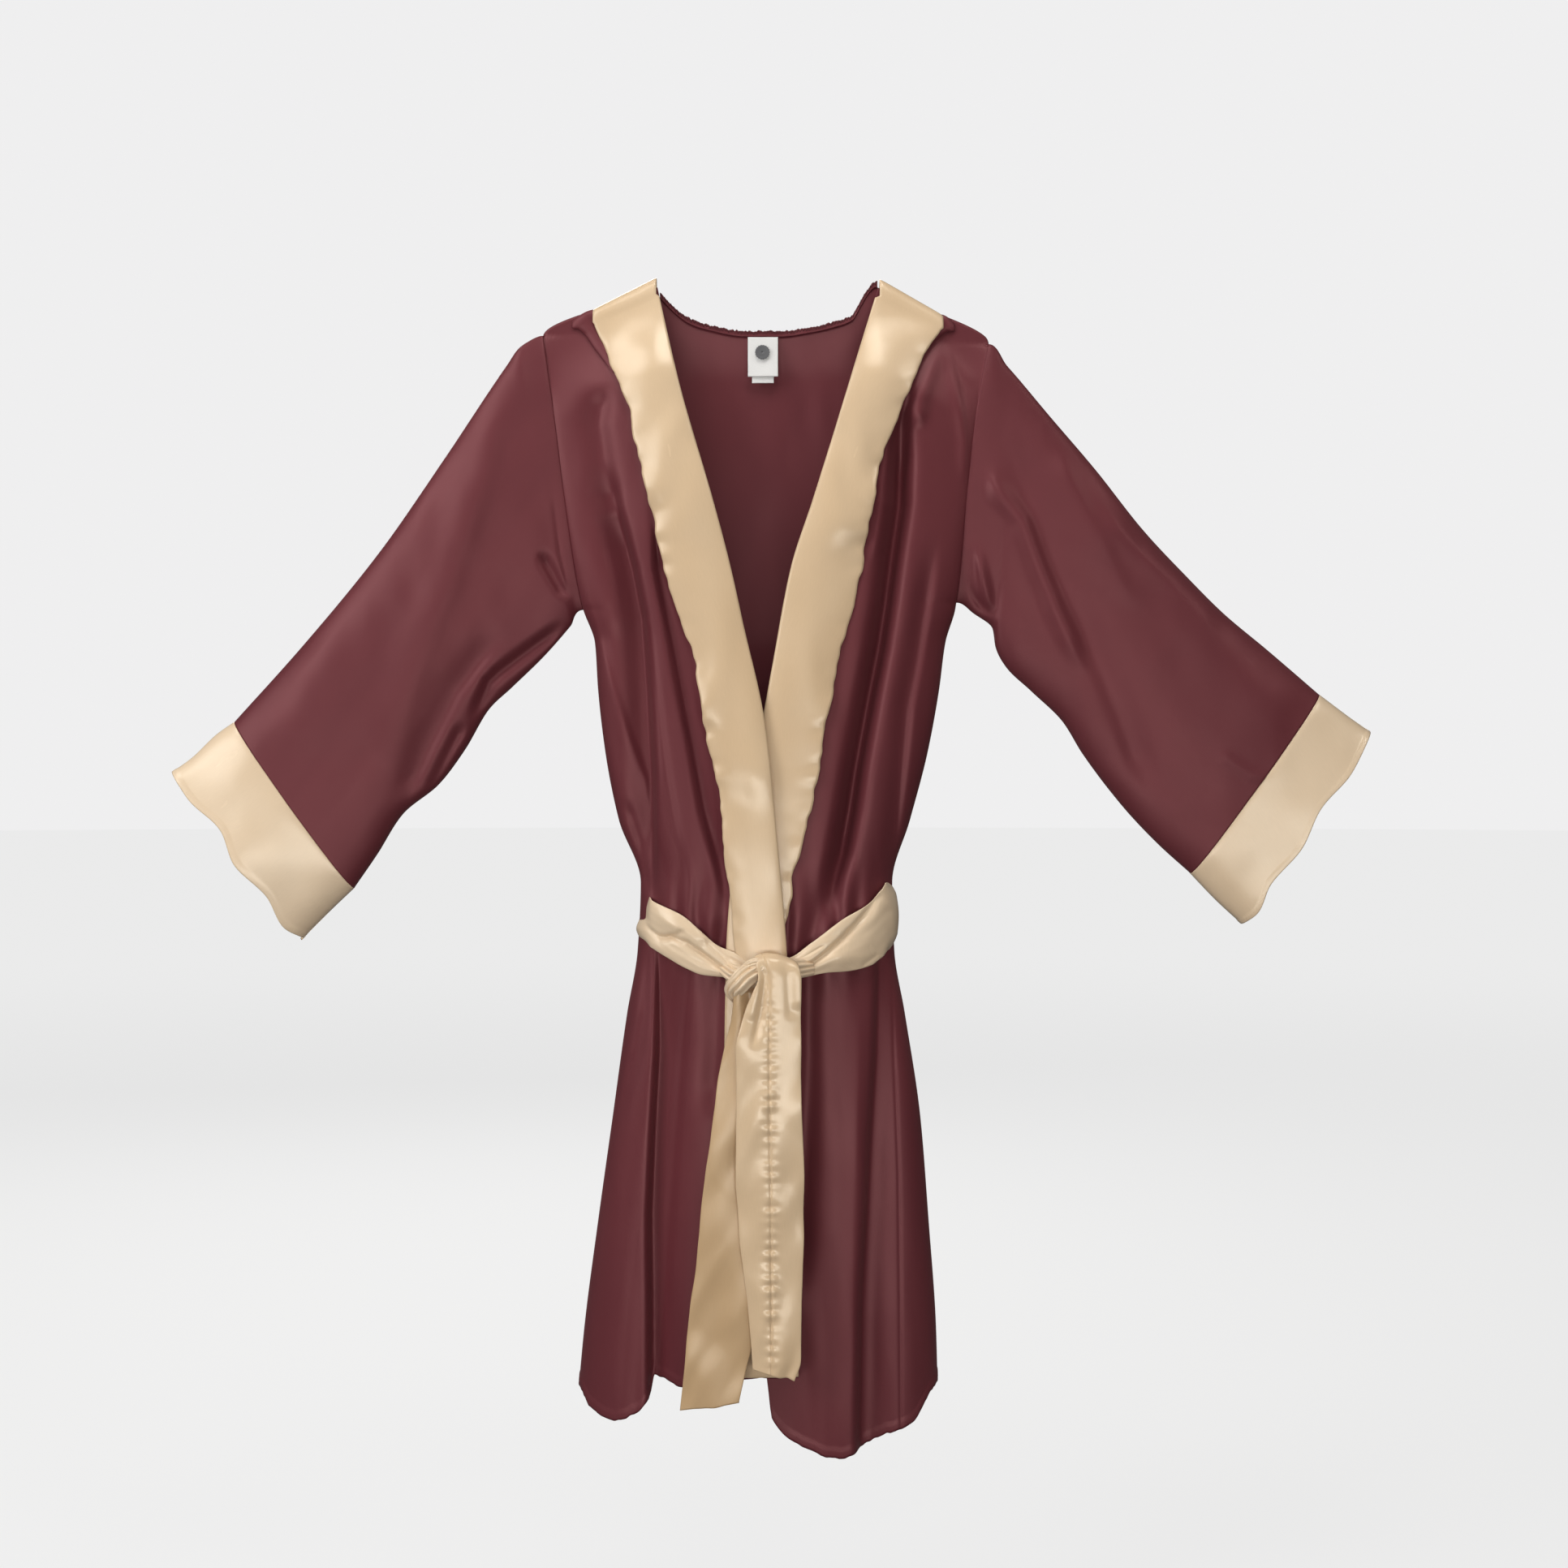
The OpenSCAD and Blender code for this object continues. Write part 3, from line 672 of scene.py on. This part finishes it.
def sleeve(sign):
    data = SLEEVES[sign]
    side = SIDE_R if sign < 0 else SIDE_L
    v = np.linspace(0, 1, 300)[:, None]
    q = np.linspace(0, 2 * math.pi, 181)[None, :-1]
    deep = curve([(0, ARMHOLE_DEPTH), (0.4, 25), (1, 27)])(v)
    x, y, z = sleeve_ring(data["top"], data["low"], v, q, deep, data["folds"], 50 + sign,
                          ease(v / 0.08))
    # the first ring is the armhole itself
    armhole_z = lerp(TIP[sign][1], PIT[sign], swing(q))
    first = 1 - ease(v / 0.06)
    x = lerp(x, side(armhole_z) + sign * v * 400 * 0.9, first)
    z = lerp(z, armhole_z, first * (1 - v / 0.06).clip(0, 1))
    y = lerp(y, -ARMHOLE_DEPTH * np.sin(q), first)
    y = y * (1 - 0.10 * np.exp(-v * 460 / 3.5))
    name = SIDE_NAME[sign] + "_sleeve"
    ob = cloth(name, grid(x, y, z)[:, ::-sign], BURGUNDY, ring=True)
    # a stretch out from the armhole along the arm, whose points dress is given but does not use
    tip, pit = np.array(TIP[sign]), np.array([side(PIT[sign]), PIT[sign]])
    along = (pit - tip) / np.linalg.norm(pit - tip)
    mid = (tip + pit) / 2
    end = mid + sign * np.array([-along[1], along[0]]) * SLEEVE_BLEND
    dress(ob, ("robe", SIDE_NAME[sign] + "_arm", (mid[0] * MM, 0, mid[1] * MM),
               (end[0] * MM, 0, end[1] * MM)), "burgundy_satin", name)


def cuff(sign):
    data = SLEEVES[sign]
    v = np.linspace(0, 1, 60)[:, None]
    q = np.linspace(0, 2 * math.pi, 181)[None, :-1]
    front = np.sin(q) > 0
    wave = curve(data["wave"])(swing(q)) * np.where(front, 1, -0.6) * ease((v - 0.3) / 0.7)
    x, y, z = sleeve_ring(data["cuff_top"], data["cuff_low"], v, q, lerp(27.6, 29, v),
                          data["folds"], 50 + sign)
    x, z = x + sign * (0.62 * wave), z - 0.8 * wave
    y = y + 2.2 * np.sin(9 * swing(q) + sign) * ease((v - 0.2) / 0.8) * np.where(front, 1, -1)
    y = y * (1 - 0.05 * np.exp(-v * 75 / 3.0))
    thick = 1.0 + 0.9 * ease((v - 0.9) / 0.05)
    name = SIDE_NAME[sign] + "_cuff"
    # the cuff takes the gold satin with painted light
    dress(cloth(name, grid(x, y, z)[:, ::-sign], GOLD_PALE, thick, ring=True),
          SIDE_NAME[sign] + "_arm", "gold_satin", name)


# ---- hood

HOOD_DROP, HOOD_HALF_W, HOOD_HALF_T = 330, 146, 22    # how far down it hangs, half width and depth
HOOD_EDGE_T = 7                    # half depth at its sides
HOOD_Y = 34 + HOOD_HALF_T          # its middle layer, behind the back
RIM_LOW, RIM_HIGH = -170, -62      # the rim's height in the middle and at the sides
INNER, OUTER = 0.4, 0.6            # shares of the rows that end the inner layer, begin the outer
HOOD_FOLDS = [([(16, -20), (60, -380)], -6, 18, 12), ([(66, -20), (98, -350)], 6, 16, 10),
              ([(106, -30), (130, -300)], -5, 12, 8)]


def hood_bottom(w):
    return lerp(-110, -HOOD_DROP, np.sqrt(np.maximum(0, 1 - w ** 2.4)))


def hood_rim(w):
    return lerp(RIM_LOW, RIM_HIGH, ease(w))


def hood_depth(w):
    return HOOD_EDGE_T + (HOOD_HALF_T - HOOD_EDGE_T) * (1 - w * w)


def hood_sag(x, z):
    return creases(abs(x), z, HOOD_FOLDS) + 2.0 * noise(x / 40 + 5, z / 60, 61)


def hood_sheet(side):
    """Half of the hood: from the neck seam down, round the bottom and up to its rim."""
    t = np.linspace(0, 1, 220)[:, None]
    w = np.sin(np.radians(np.linspace(0, 89.5, 90)))[None, :]
    x = side * w * HOOD_HALF_W
    low, d = hood_bottom(w), hood_depth(w)
    turn = np.radians(90 * (2 * np.clip(t, INNER, OUTER) - 1) / 0.2)
    neck = np.where(w < 0.62, BACK_NECK(x) + 1.5,
                    lerp(BACK_NECK(side * 92.0), -34, ease((w - 0.62) / 0.3)))
    s = t / INNER
    down = lerp(neck, low + d, s)
    up = lerp(low + d, hood_rim(w) - 6 - 40 * ease((w - 0.78) / 0.22), (t - OUTER) / INNER)
    z = np.where(t < INNER, down, np.where(t > OUTER, up, low + d - d * np.cos(turn)))
    start = back_y(x, neck - 6) + 3.2
    away = ease((s - 0.08 * ease((w - 0.3) / 0.4)) / 0.13)    # later at the sides
    y = HOOD_Y + d * np.sin(turn)
    y = np.where(t < INNER, lerp(start, y, away), y)
    sag = hood_sag(x, z) + 0.8 * noise(x / 17, z / 22, 62)
    y = y + sag * ease((-z - 60) / 40) * np.where(t > 0.5, 1, 0.4)
    name = "hood_" + SIDE_NAME[side] + "_half"
    dress(cloth(name, grid(x, y, z)[:, ::side], BURGUNDY),
          ("robe", "hood", (0, 0.017, -0.05), (0, 0.033, -0.05)), "burgundy_satin", name)


def hood_edge(drop, start):
    """One edge of the hood's band, from behind a shoulder to the middle of the back and across."""
    half = start + [(HOOD_HALF_W * w, HOOD_Y + hood_depth(w) + LAYER,
                     hood_rim(w) + 0.5 - drop * (1 - 0.45 * w))
                    for w in (0.82, 0.7, 0.55, 0.4, 0.25, 0.1)]
    half = [(-x, y, z) for x, y, z in half]
    middle = (0, HOOD_Y + HOOD_HALF_T + LAYER, hood_rim(0) + 0.5 - drop)
    return curve_path(half + [middle] + [(-x, y, z) for x, y, z in half[::-1]], 420)


def hood_band():
    """Carries on from the front bands behind the shoulders and round the hood's mouth."""
    top = hood_edge(0, [(104, 5, -18), (114, 20, -15), (128, 42, -27), (133, 60, -50)])
    low = hood_edge(58, [(160, 5, -52), (166, 22, -56), (163, 44, -74), (148, 60, -96)])
    k = np.linspace(0, 1, 30)[:, None]
    p = lerp(top[None], low[None], k[..., None])
    x, z = p[..., 0], p[..., 2]
    out = grid(0.35 * np.sign(x) * ease((abs(x) - 90) / 50), 1, 0)
    s = np.linspace(0, 1, 420)[None, :]
    sag = hood_sag(x, z) * ease((110 - abs(x)) / 40)
    sag = sag + 1.6 * np.sin(s * 40 + 3 * k) * np.sin(math.pi * k)
    pucker = 1.2 * noise(s * 90, k * 2, 63) * np.exp(-((1 - k) / 0.22) ** 2)
    bulge = 4 * np.sin(math.pi * k) * ease((abs(x) - 70) / 40)
    p = p + out * (sag * ease((-z - 60) / 40) + pucker + bulge + 0.6)[..., None]
    dress(cloth("hood_band", p[::-1], GOLD, BAND_T),
          ("robe", "hood", (0, 0.020, -0.05), (0, 0.052, -0.05)), "gold_satin", "hood_band")


# How far out the hood's sides show at the shoulders, and how far down
ROLL_EDGE = {
    -1: curve([(-32, -183), (-40, -181), (-48, -172), (-65, -160), (-77, -151), (-88, -143)]),
    1: curve([(-30, 184), (-40, 183.5), (-44, 180), (-50, 171), (-57, 164), (-70, 154)])}
ROLL_LOW = {RIGHT: -88, LEFT: -72}
TUCK = 7    # of it goes under the front band


def hood_roll(side):
    """The hood's side where it turns over a shoulder, tucked under the front band's outer edge."""
    band = BAND_L_OUT if side > 0 else BAND_R_OUT
    w = np.linspace(0, 1, 26)[None, :]
    x_top = lerp(ROLL_EDGE[side](-30), band(-30) - side * TUCK, w)
    top = shoulder_z(x_top) - 5
    t = np.linspace(0, 1, 70)[:, None]
    z = lerp(top, ROLL_LOW[side], t)
    x = lerp(ROLL_EDGE[side](z), band(z) - side * TUCK, w)
    lift = 1.4 + 3.2 * np.sin(math.pi * np.clip(w * 1.1, 0, 1)) ** 0.7 * (1 - t ** 3)
    y = base_y(x, z) - lift - right_layer(x) * (side < 0)
    a = np.linspace(0, math.pi, 18)[:-1, None]
    crown = lerp(7, 10, np.sin(math.pi * w))
    arc = grid(x_top, lerp(y[:1], back_y(x_top, top) + 2.5, swing(a)), top + crown * np.sin(a))
    # behind, it runs down and back into the side of the hood
    outer, inner = [
        curve_path([start] + [(side * px, py, pz) for px, py, pz in points], 50)[:, None]
        for start, points in (
            (arc[-1, 0], [(180, 20, -72), (168, 40, -100), (152, 54, -138), (136, 60, -178)]),
            (arc[-1, -1], [(156, 22, -44), (152, 42, -66), (138, 56, -96), (122, 61, -130)]))]
    puff = 5 * np.sin(math.pi * w) + 1.2 * np.sin(9 * w + 2)
    puff = puff * np.sin(math.pi * np.linspace(0, 1, 50))[:, None]
    rear = lerp(outer, inner, w[..., None]) + puff[..., None] * np.array([0.7 * side, 0.7, 0.1])
    p = np.concatenate([rear[::-1], arc[::-1], grid(x, y, z)[1:]])[:, ::-side]
    name = "hood_roll_" + SIDE_NAME[side]
    dress(cloth(name, p, BURGUNDY, 1.0),
          ("robe", "hood", (0, 0.018, -0.05), (0, 0.052, -0.05)), "burgundy_satin", name)


def curve_path(points, count):
    """Smooth path through points, evenly spaced by their number."""
    points = np.array(points, float)
    k = np.linspace(0, len(points) - 1, count)
    i = np.minimum(k.astype(int), len(points) - 2)
    t = (k - i)[:, None]
    a = np.concatenate([2 * points[:1] - points[1:2], points, 2 * points[-1:] - points[-2:-1]])
    p0, p1, p2, p3 = a[i], a[i + 1], a[i + 2], a[i + 3]
    bend = 2 * p0 - 5 * p1 + 4 * p2 - p3 + t * (3 * (p1 - p2) + p3 - p0)
    return p1 + 0.5 * t * (p2 - p0 + t * bend)


# ---- neck seam and labels

def neck_seam():
    """Bound seam between the back's neck edge and the hood, with its overlock thread."""
    x = np.linspace(-99, NECK_END[LEFT], 280)[None, :]
    k = np.linspace(0, 1, 6)[:, None]
    z = BACK_NECK(x) - 3.5 + 5.5 * k + 0.9 * noise(x / 2.1, 0, 71) * k
    y = back_y(x, BACK_NECK(x) - 4) - 1.2 + 0.5 * noise(x / 6, k, 72)
    p = grid(x, y, z)[::-1]
    dress(cloth("neck_seam_tape", p, BURGUNDY, 1.3), "robe", "burgundy_satin", "neck_seam_tape")
    path = p[1][::2] - [0, 1.1, 0]
    path[:, 2] += np.where(np.arange(len(path)) % 2, 1.4, -1.8)
    dress(tube("neck_overlock", path, 0.35, THREAD_R, 5), "robe", "burgundy_satin")


def label(name, curl, body):
    """A flat label in the place of its node, which curls forward at its free end."""
    low, high = [np.array(c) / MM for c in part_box(name)]
    s, t = np.linspace(0, 1, 30)[None, :], np.linspace(0, 1, 40)[:, None]
    y = lerp(low[1], high[1], 0.5) - curl * (1.2 * (t ** 2) * np.sin(3.2 * s - 0.6))
    p = grid(lerp(low[0], high[0], s), y, lerp(high[2], low[2], t))
    dress(cloth(name, p, TAPE, 0.5), body, "label_tape", name)
    return low


def badge(x, y, z):
    """A plain round mark with a scalloped rim and nothing on it."""
    q = np.linspace(0, 2 * math.pi, 145)[None, :-1]
    r = np.array([0.05, 2.0, 3.8, 4.8, 5.1, 5.8, 6.5, 6.9])[:, None]
    raised = np.array([0, 0, 0, 0, 0.16, 0.16, 0.05, 0])[:, None]
    r = r * (1 + 0.035 * np.cos(18 * q) * (r > 6))
    p = grid(x + r * np.cos(q), y - 0.1 - raised, z + r * np.sin(q))
    ob = cloth("neck_label_badge", p, BADGE, 0.3, ring=True)
    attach(ob, "label")


# ---- belt

BELT_TOP = curve([
    (-121, -588), (-109, -588), (-104, -591), (-75, -604), (-59, -617), (-41, -632), (-26, -638),
    (-12, -646), (24, -643), (46, -629), (76, -607), (102, -592), (111, -582), (121, -574),
    (130, -575)])
BELT_LOW = curve([
    (-121, -631), (-114, -632), (-106, -635), (-91, -643), (-72, -653), (-56, -659), (-35, -661),
    (-20, -664), (20, -664), (39, -661), (61, -657), (80, -656), (103, -651), (109, -647),
    (123, -639), (130, -638)])
BELT_FOLDS = [
    ([(-118, -605), (-106, -618), (-96, -625), (-86, -624), (-70, -629), (-50, -643), (-34, -655),
     (-20, -661)], 4.5, 3.5, 2.2),
    ([(-100, -622), (-90, -625), (-80, -622), (-72, -616)], 3, 3, 3),
    ([(-56, -624), (-38, -641), (-28, -652), (-20, -662)], 2.6, 2, 3.5),
    ([(-44, -628), (-30, -643), (-18, -650), (-8, -655)], 2.4, 2, 3),
    ([(-110, -600), (-80, -612), (-50, -632)], -2.5, 9, 9),
    ([(22, -652), (46, -648), (61, -637), (76, -624), (93, -606), (105, -591), (118, -579)], 5,
     4.5, 2.4),
    ([(20, -648), (40, -641), (60, -630)], 2, 2, 3),
    ([(60, -650), (90, -640), (112, -622), (124, -600)], -3, 10, 12),
    ([(92, -652), (103, -645), (110, -640)], 2, 2, 2.5),
    ([(112, -585), (124, -600), (127, -622), (118, -640)], -2.6, 4, 4)]


WRAP_MID, WRAP_HALF_W = 4.5, 125.5
WRAP_FRONT, WRAP_REAR = 60.8, 31       # depth before and behind the middle plane
# How far the belt's ends draw in where it turns round the body, by the height on it
WRAP_END = {
    -1: curve([(-1, 7), (-0.7, 1.5), (-0.45, 0), (-0.15, 2), (0.1, 6), (0.5, 7), (1, 10)]),
    1: curve([(-1, 7), (-0.5, 1), (0, 0), (0.6, 2), (1, 8)])}


def belt_wrap():
    q = np.linspace(0, 2 * math.pi, 601)[None, :-1]
    k = np.linspace(-1, 1, 56)[:, None]    # -1 at its lower edge
    x = WRAP_MID + WRAP_HALF_W * np.cos(q)
    front = np.sin(q) < 0
    p_out = np.sqrt(np.maximum(0, 1 - abs(np.cos(q)) ** 2.6))
    level = ease((x + 121) / 251)
    blend = ease(p_out / 0.35)
    rear_top = lerp(lerp(-588, -575, level), lerp(-583, -574, level), blend)
    rear_low = lerp(lerp(-631, -638, level), lerp(-622, -630, level), blend)
    z = lerp(np.where(front, BELT_LOW(x), rear_low), np.where(front, BELT_TOP(x), rear_top),
             (k + 1) / 2)
    end = ease((abs(np.cos(q)) - 0.86) / 0.14)
    x = x + end * np.where(x < 0, WRAP_END[RIGHT](k), -WRAP_END[LEFT](k))
    relief = np.where(front, creases(x, z, BELT_FOLDS), 0)
    s = x / 26 + 8 * front
    lines = (1.1 * noise(s, k * 2.4, 82) + 0.5 * noise(s * 1.7, k * 5, 83)
             + 1.4 * np.sin(4.2 * k + 2.2 * noise(s / 2, 0, 81)) * np.where(front, 0.2, 1))
    outward = lines + 2.8 * (1 - k ** 4) - relief
    y = p_out * np.where(front, -WRAP_FRONT - outward, WRAP_REAR + outward)
    # the belt wrap takes the gold satin with painted light
    dress(cloth("belt_wrap", grid(x, y, z)[::-1], GOLD_PALE, rolled(1.2, k, 0.15), ring=True),
          "robe", "gold_satin", "belt_wrap")


def knot():
    """The lump beside the knot's covering turn, which goes on as the front tail."""
    turns = [  # name, path, half width, way it faces, bulge, striations
        ("belt_knot", [(8, -70, -648), (-3, -80, -651), (-14, -86, -657), (-21, -87, -664),
                       (-26, -81, -671), (-22, -70, -678)], 10.0, (-0.25, -1, 0.1), 5.5, 1.5),
        ("belt_knot_eye", [(-24, -66, -661), (-19, -76, -654), (-13, -84, -648), (-6, -86, -645),
                           (2, -82, -646), (6, -72, -650)], 4.2, (-0.5, -1, 0.3), 2.0, 0.4),
        ("belt_knot_lip", [(-13, -70, -657), (-9, -80, -655), (-3, -87, -652), (3, -86, -647),
                           (8, -76, -643)], 4.5, (-0.4, -1, -0.2), 2.2, 0.5),
        ("belt_knot_right", [(-36, -58, -651), (-26, -68, -657), (-12, -75, -659), (6, -76, -656),
                             (14, -70, -654)], 8.5, (0, -1, 0.2), 3.0, 1.1),
        ("belt_knot_left", [(46, -58, -652), (35, -68, -652), (22, -76, -652), (8, -78, -654),
                            (-2, -72, -656)], 9.0, (0, -1, 0.2), 3.0, 0.9)]
    s = np.linspace(0, 1, 80)[:, None]
    k = np.linspace(-1, 1, 48)[None, :]
    for number, (name, points, wide, facing, bulge, striae) in enumerate(turns):
        path = curve_path(points, 80)
        tangent = np.gradient(path, axis=0)
        tangent /= np.linalg.norm(tangent, axis=1, keepdims=True)
        out = facing - (facing * tangent).sum(1, keepdims=True) * tangent
        out /= np.linalg.norm(out, axis=1, keepdims=True)
        half = np.cross(tangent, out) * wide * (0.8 + 0.2 * np.sin(math.pi * s))
        bow = (bulge * (1 - abs(k) ** 2.5) + striae * np.sin(11 * k + 1.5 * np.sin(3 * s) + number)
               * np.sqrt(np.maximum(0, 1 - k * k)) + 0.5 * noise(s * 4, k * 4, 90 + number))
        p = path[:, None] + k[..., None] * half[:, None] + out[:, None] * bow[..., None]
        # the knot takes the gold satin with painted light
        dress(cloth(name, p, GOLD_PALE, 1.2), "robe", "gold_satin",
              *([name] if name == "belt_knot" else []))


# Edges and seam: z, x. hinge: a height in metres on the tail, given to dress, which does not use
# it
TAILS = {
    "belt_tail_front": dict(
        left=[(-630, -9), (-648, -6), (-659, -4), (-672, -9), (-689, -16), (-708, -21),
              (-724, -24), (-780, -24), (-850, -24), (-900, -20), (-957, -14), (-1022, -8)],
        right=[(-630, 24), (-640, 28), (-650, 35), (-660, 37), (-716, 36), (-780, 37), (-850, 39),
               (-900, 38), (-957, 37), (-1010, 36), (-1029, 30)],
        seam=[(-636, 1), (-650, 5), (-676, 7), (-780, 7), (-850, 8), (-1029, 9)],
        top=-664, y=-92.6, ends=(-1020, -1029), seed=101, hinge=-0.668),
    "belt_tail_rear": dict(
        left=[(-672, -26), (-700, -29), (-723, -34), (-776, -44), (-850, -53), (-877, -56),
              (-948, -64), (-1060, -76)],
        right=[(-672, -4), (-700, 0), (-776, 8), (-850, 8), (-948, 0), (-1050, -21)],
        seam=[(-672, -14), (-776, -18), (-850, -23), (-1060, -48)],
        top=-672, y=-84.2, ends=(-1060, -1051), seed=111, hinge=-0.69)}
TAIL_FOLDS = [
    ([(0, -640), (3, -660), (-1, -690), (-9, -725)], 3.0, 3.5, 5),
    ([(-4, -652), (-5, -672), (-12, -700)], -2.2, 4, 4),
    ([(18, -639), (24, -656), (27, -700)], 1.6, 5, 8),
    ([(30, -640), (34, -655), (35, -690)], -1.6, 6, 4)]


def tail(name, body):
    data = TAILS[name]
    left, right, seam = (curve(data[key]) for key in ("left", "right", "seam"))
    seed, hinge = data["seed"], data["hinge"]
    cover = name == "belt_tail_front"    # it covers the knot, and shows its seam
    w = np.linspace(0, 1, 60)[None, :]
    low = lerp(*data["ends"], w) + 1.5 * noise(w * 5, 0, seed)
    z = lerp(data["top"], low, np.linspace(0, 1, 260)[:, None])
    y = data["y"] + 0 * z
    if cover:   # over the top of the knot, from behind
        arc = curve_path([(0, -69, -646), (0, -74, -639), (0, -81, -637), (0, -88, -641.5),
                          (0, -92, -650), (0, -92.6, -664)], 50)[:-1]
        dome = 5 * (1 - w) ** 4 + 11 * w ** 3.5
        z = np.concatenate([arc[:, 2:] - dome * np.linspace(1, 0, 49)[:, None] ** 0.8, z])
        y = np.concatenate([arc[:, 1:2] + 0 * w, y])
    x = lerp(left(z), right(z), w) + (w - 0.5) * 1.6 * noise(z / 30, 0, seed + 1)
    soft = (2.6 * noise(z / 80 + w, w * 1.6, seed + 3)
            + 1.1 * noise(z / 30 - w * 2, w * 3, seed + 4)
            + 2.0 * noise(z / 44 + w * 1.5, w * 2.5 - z / 60, seed + 5))
    y = y - soft * ease((-676 - z) / 40) - 2.4 * np.sin(math.pi * w) + 1.5
    if cover:
        d = x - seam(z)
        pull = 1.0 * noise(z / 5.5, d / 16, seed + 2) + 0.35 * np.sin(z / 1.7)
        y = y - pull * np.exp(-(d / 6) ** 2) * ease((-648 - z) / 20)
        y = y + 1.3 * np.exp(-(d / 1.3) ** 2) + creases(x, z, TAIL_FOLDS) * ease((-638 - z) / 8)
    else:       # gathered where it leaves the knot
        y = y - 3.0 * np.sin(6.5 * w + 0.7) * (1 - ease((-z - 690) / 110))
    thick = rolled(1.8, np.linspace(-1, 1, 60)[None, :])
    # the rear tail takes the gold satin with painted shade
    dress(cloth(name, grid(x, y, z)[:, ::-1], GOLD if cover else GOLD_DULL, thick),
          ("robe", body, (0, 0, hinge + 0.012), (0, 0, hinge - 0.05)), "gold_satin", name)


# ---- stage

FLOOR_Z = -1.32
FLOOR_GLOW = {"From Min": 1.5, "From Max": 9.0, "To Min": 0.73, "To Max": 0.81}    # by distance
WALL = (0.865, 0.862, 0.866, 1)
ROOM = ((0.15, (0.035, 0.036, 0.040, 1)), (0.95, (0.14, 0.137, 0.132, 1)))    # dim to lit side


def pale_floor(add):
    """A dull grey that the camera sees as near white."""
    away = add("VectorMath", "Value", {0: add("NewGeometry", "Position")}, operation="LENGTH")
    glow = add("MapRange", "Result", {"Value": away, **FLOOR_GLOW},
               interpolation_type="SMOOTHSTEP")
    seen = add("Math", "Value", {0: add("LightPath", "Is Camera Ray"), 1: glow},
               operation="MULTIPLY")
    return {"Base Color": (0.14, 0.14, 0.14, 1), "Roughness": 0.9, "Specular IOR Level": 0.1,
            "Emission Color": (1, 1, 1, 1), "Emission Strength": seen}


def stage():
    """A pale room: the same white all round to the eye, but softer light from below and behind."""
    bpy.ops.mesh.primitive_circle_add(vertices=96, radius=40, fill_type="NGON",
                                      location=(0, 0, FLOOR_Z))
    floor = bpy.context.object
    floor.name = "floor"
    floor.data.materials.append(material("pale_floor", pale_floor))
    world = bpy.data.worlds.new("studio")
    bpy.context.scene.world = world
    world.use_nodes = True
    tree = world.node_tree
    tree.nodes.clear()
    add = adder(tree)
    lean = add("Mapping", "Vector", {"Vector": add("TexCoord", "Generated"),
                                     "Rotation": (0, math.radians(-35), 0)}, vector_type="POINT")
    height = add("Math", "Value", {0: add("SeparateXYZ", "Z", {"Vector": lean}), 1: 0.5, 2: 0.5},
                 operation="MULTIPLY_ADD")
    ramp = add("ValToRGB", "Color", {"Fac": height})
    for stop, (position, colour) in zip(ramp.node.color_ramp.elements, ROOM):
        stop.position, stop.color = position, colour
    both = add("MixShader", "Shader", {"Fac": add("LightPath", "Is Camera Ray"),
                                       1: add("Background", "Background", {"Color": ramp}),
                                       2: add("Background", "Background", {"Color": WALL})})
    fill(tree, tree.nodes.new("ShaderNodeOutputWorld"), {"Surface": both})


def light(name, at, aim, size, watts, colour=(1.0, 0.99, 0.97)):
    data = bpy.data.lights.new(name, "AREA")
    data.shape = "RECTANGLE"
    data.size, data.size_y = size
    data.energy = watts
    data.color = colour
    ob = place(name, data)
    ob.location = at
    x, y, z = np.array(aim) - np.array(at)
    ob.rotation_euler = (math.pi / 2 + math.atan2(z, math.hypot(x, y)), 0,
                         math.atan2(y, x) - math.pi / 2)
    ob.visible_camera = False


def camera():
    """Square on to the front, level with the waist, far enough for an ordinary lens."""
    distance, width = 2.1, 1.507
    data = bpy.data.cameras.new("camera")
    data.sensor_width = 36
    data.lens = data.sensor_width * distance / width
    ob = place("camera", data)
    ob.location = (0.0203, -distance, -0.4805)
    ob.rotation_euler = (math.pi / 2, 0, 0)
    bpy.context.scene.camera = ob


# ---- build

camera()
stage()
light("window", (1.9, -1.3, 1.1), (0, 0, -0.25), (0.5, 0.5), 7, (1.0, 0.97, 0.92))
light("left", (-2.2, -1.5, 0.4), (0, 0, -0.5), (1.2, 1.2), 24, (1.0, 1.0, 1.0))
light("left_high", (-1.7, -1.2, 1.6), (0, 0, -0.5), (1.0, 1.0), 18, (1.0, 1.0, 1.0))
light("above", (0.1, -0.9, 1.5), (0, 0, -0.5), (0.8, 0.8), 14)
light("low_fill", (0, -2.9, -0.95), (0, 0, -0.75), (3.0, 0.5), 34)
light("behind", (-0.6, 2.6, 1.2), (0, 0, -0.4), (1.8, 1.8), 66)
bpy.context.scene.view_settings.view_transform = "Standard"

back_panel()
front_panel("right_front_panel", RIGHT, SIDE_R, BAND_R_IN, HEM_R)
front_panel("left_front_panel", LEFT, SIDE_L, BAND_L_IN, HEM_L)
front_band("right_front_band", RIGHT, BAND_R_IN, BAND_R_OUT, HEM_R)
front_band("left_front_band", LEFT, BAND_L_IN, BAND_L_OUT, HEM_L)
for sign in (RIGHT, LEFT):
    sleeve(sign)
    cuff(sign)
    hood_sheet(sign)
    hood_roll(sign)
hood_band()
neck_seam()
label("neck_label", 1, ("robe", "label", (0, 0, -0.0495), (0, 0, -0.056)))
corner = label("size_label", 0.4, "label")
badge(-0.5, corner[1] - 3.6, -65)
belt_wrap()
knot()
tail("belt_tail_front", "front_tail")
tail("belt_tail_rear", "rear_tail")
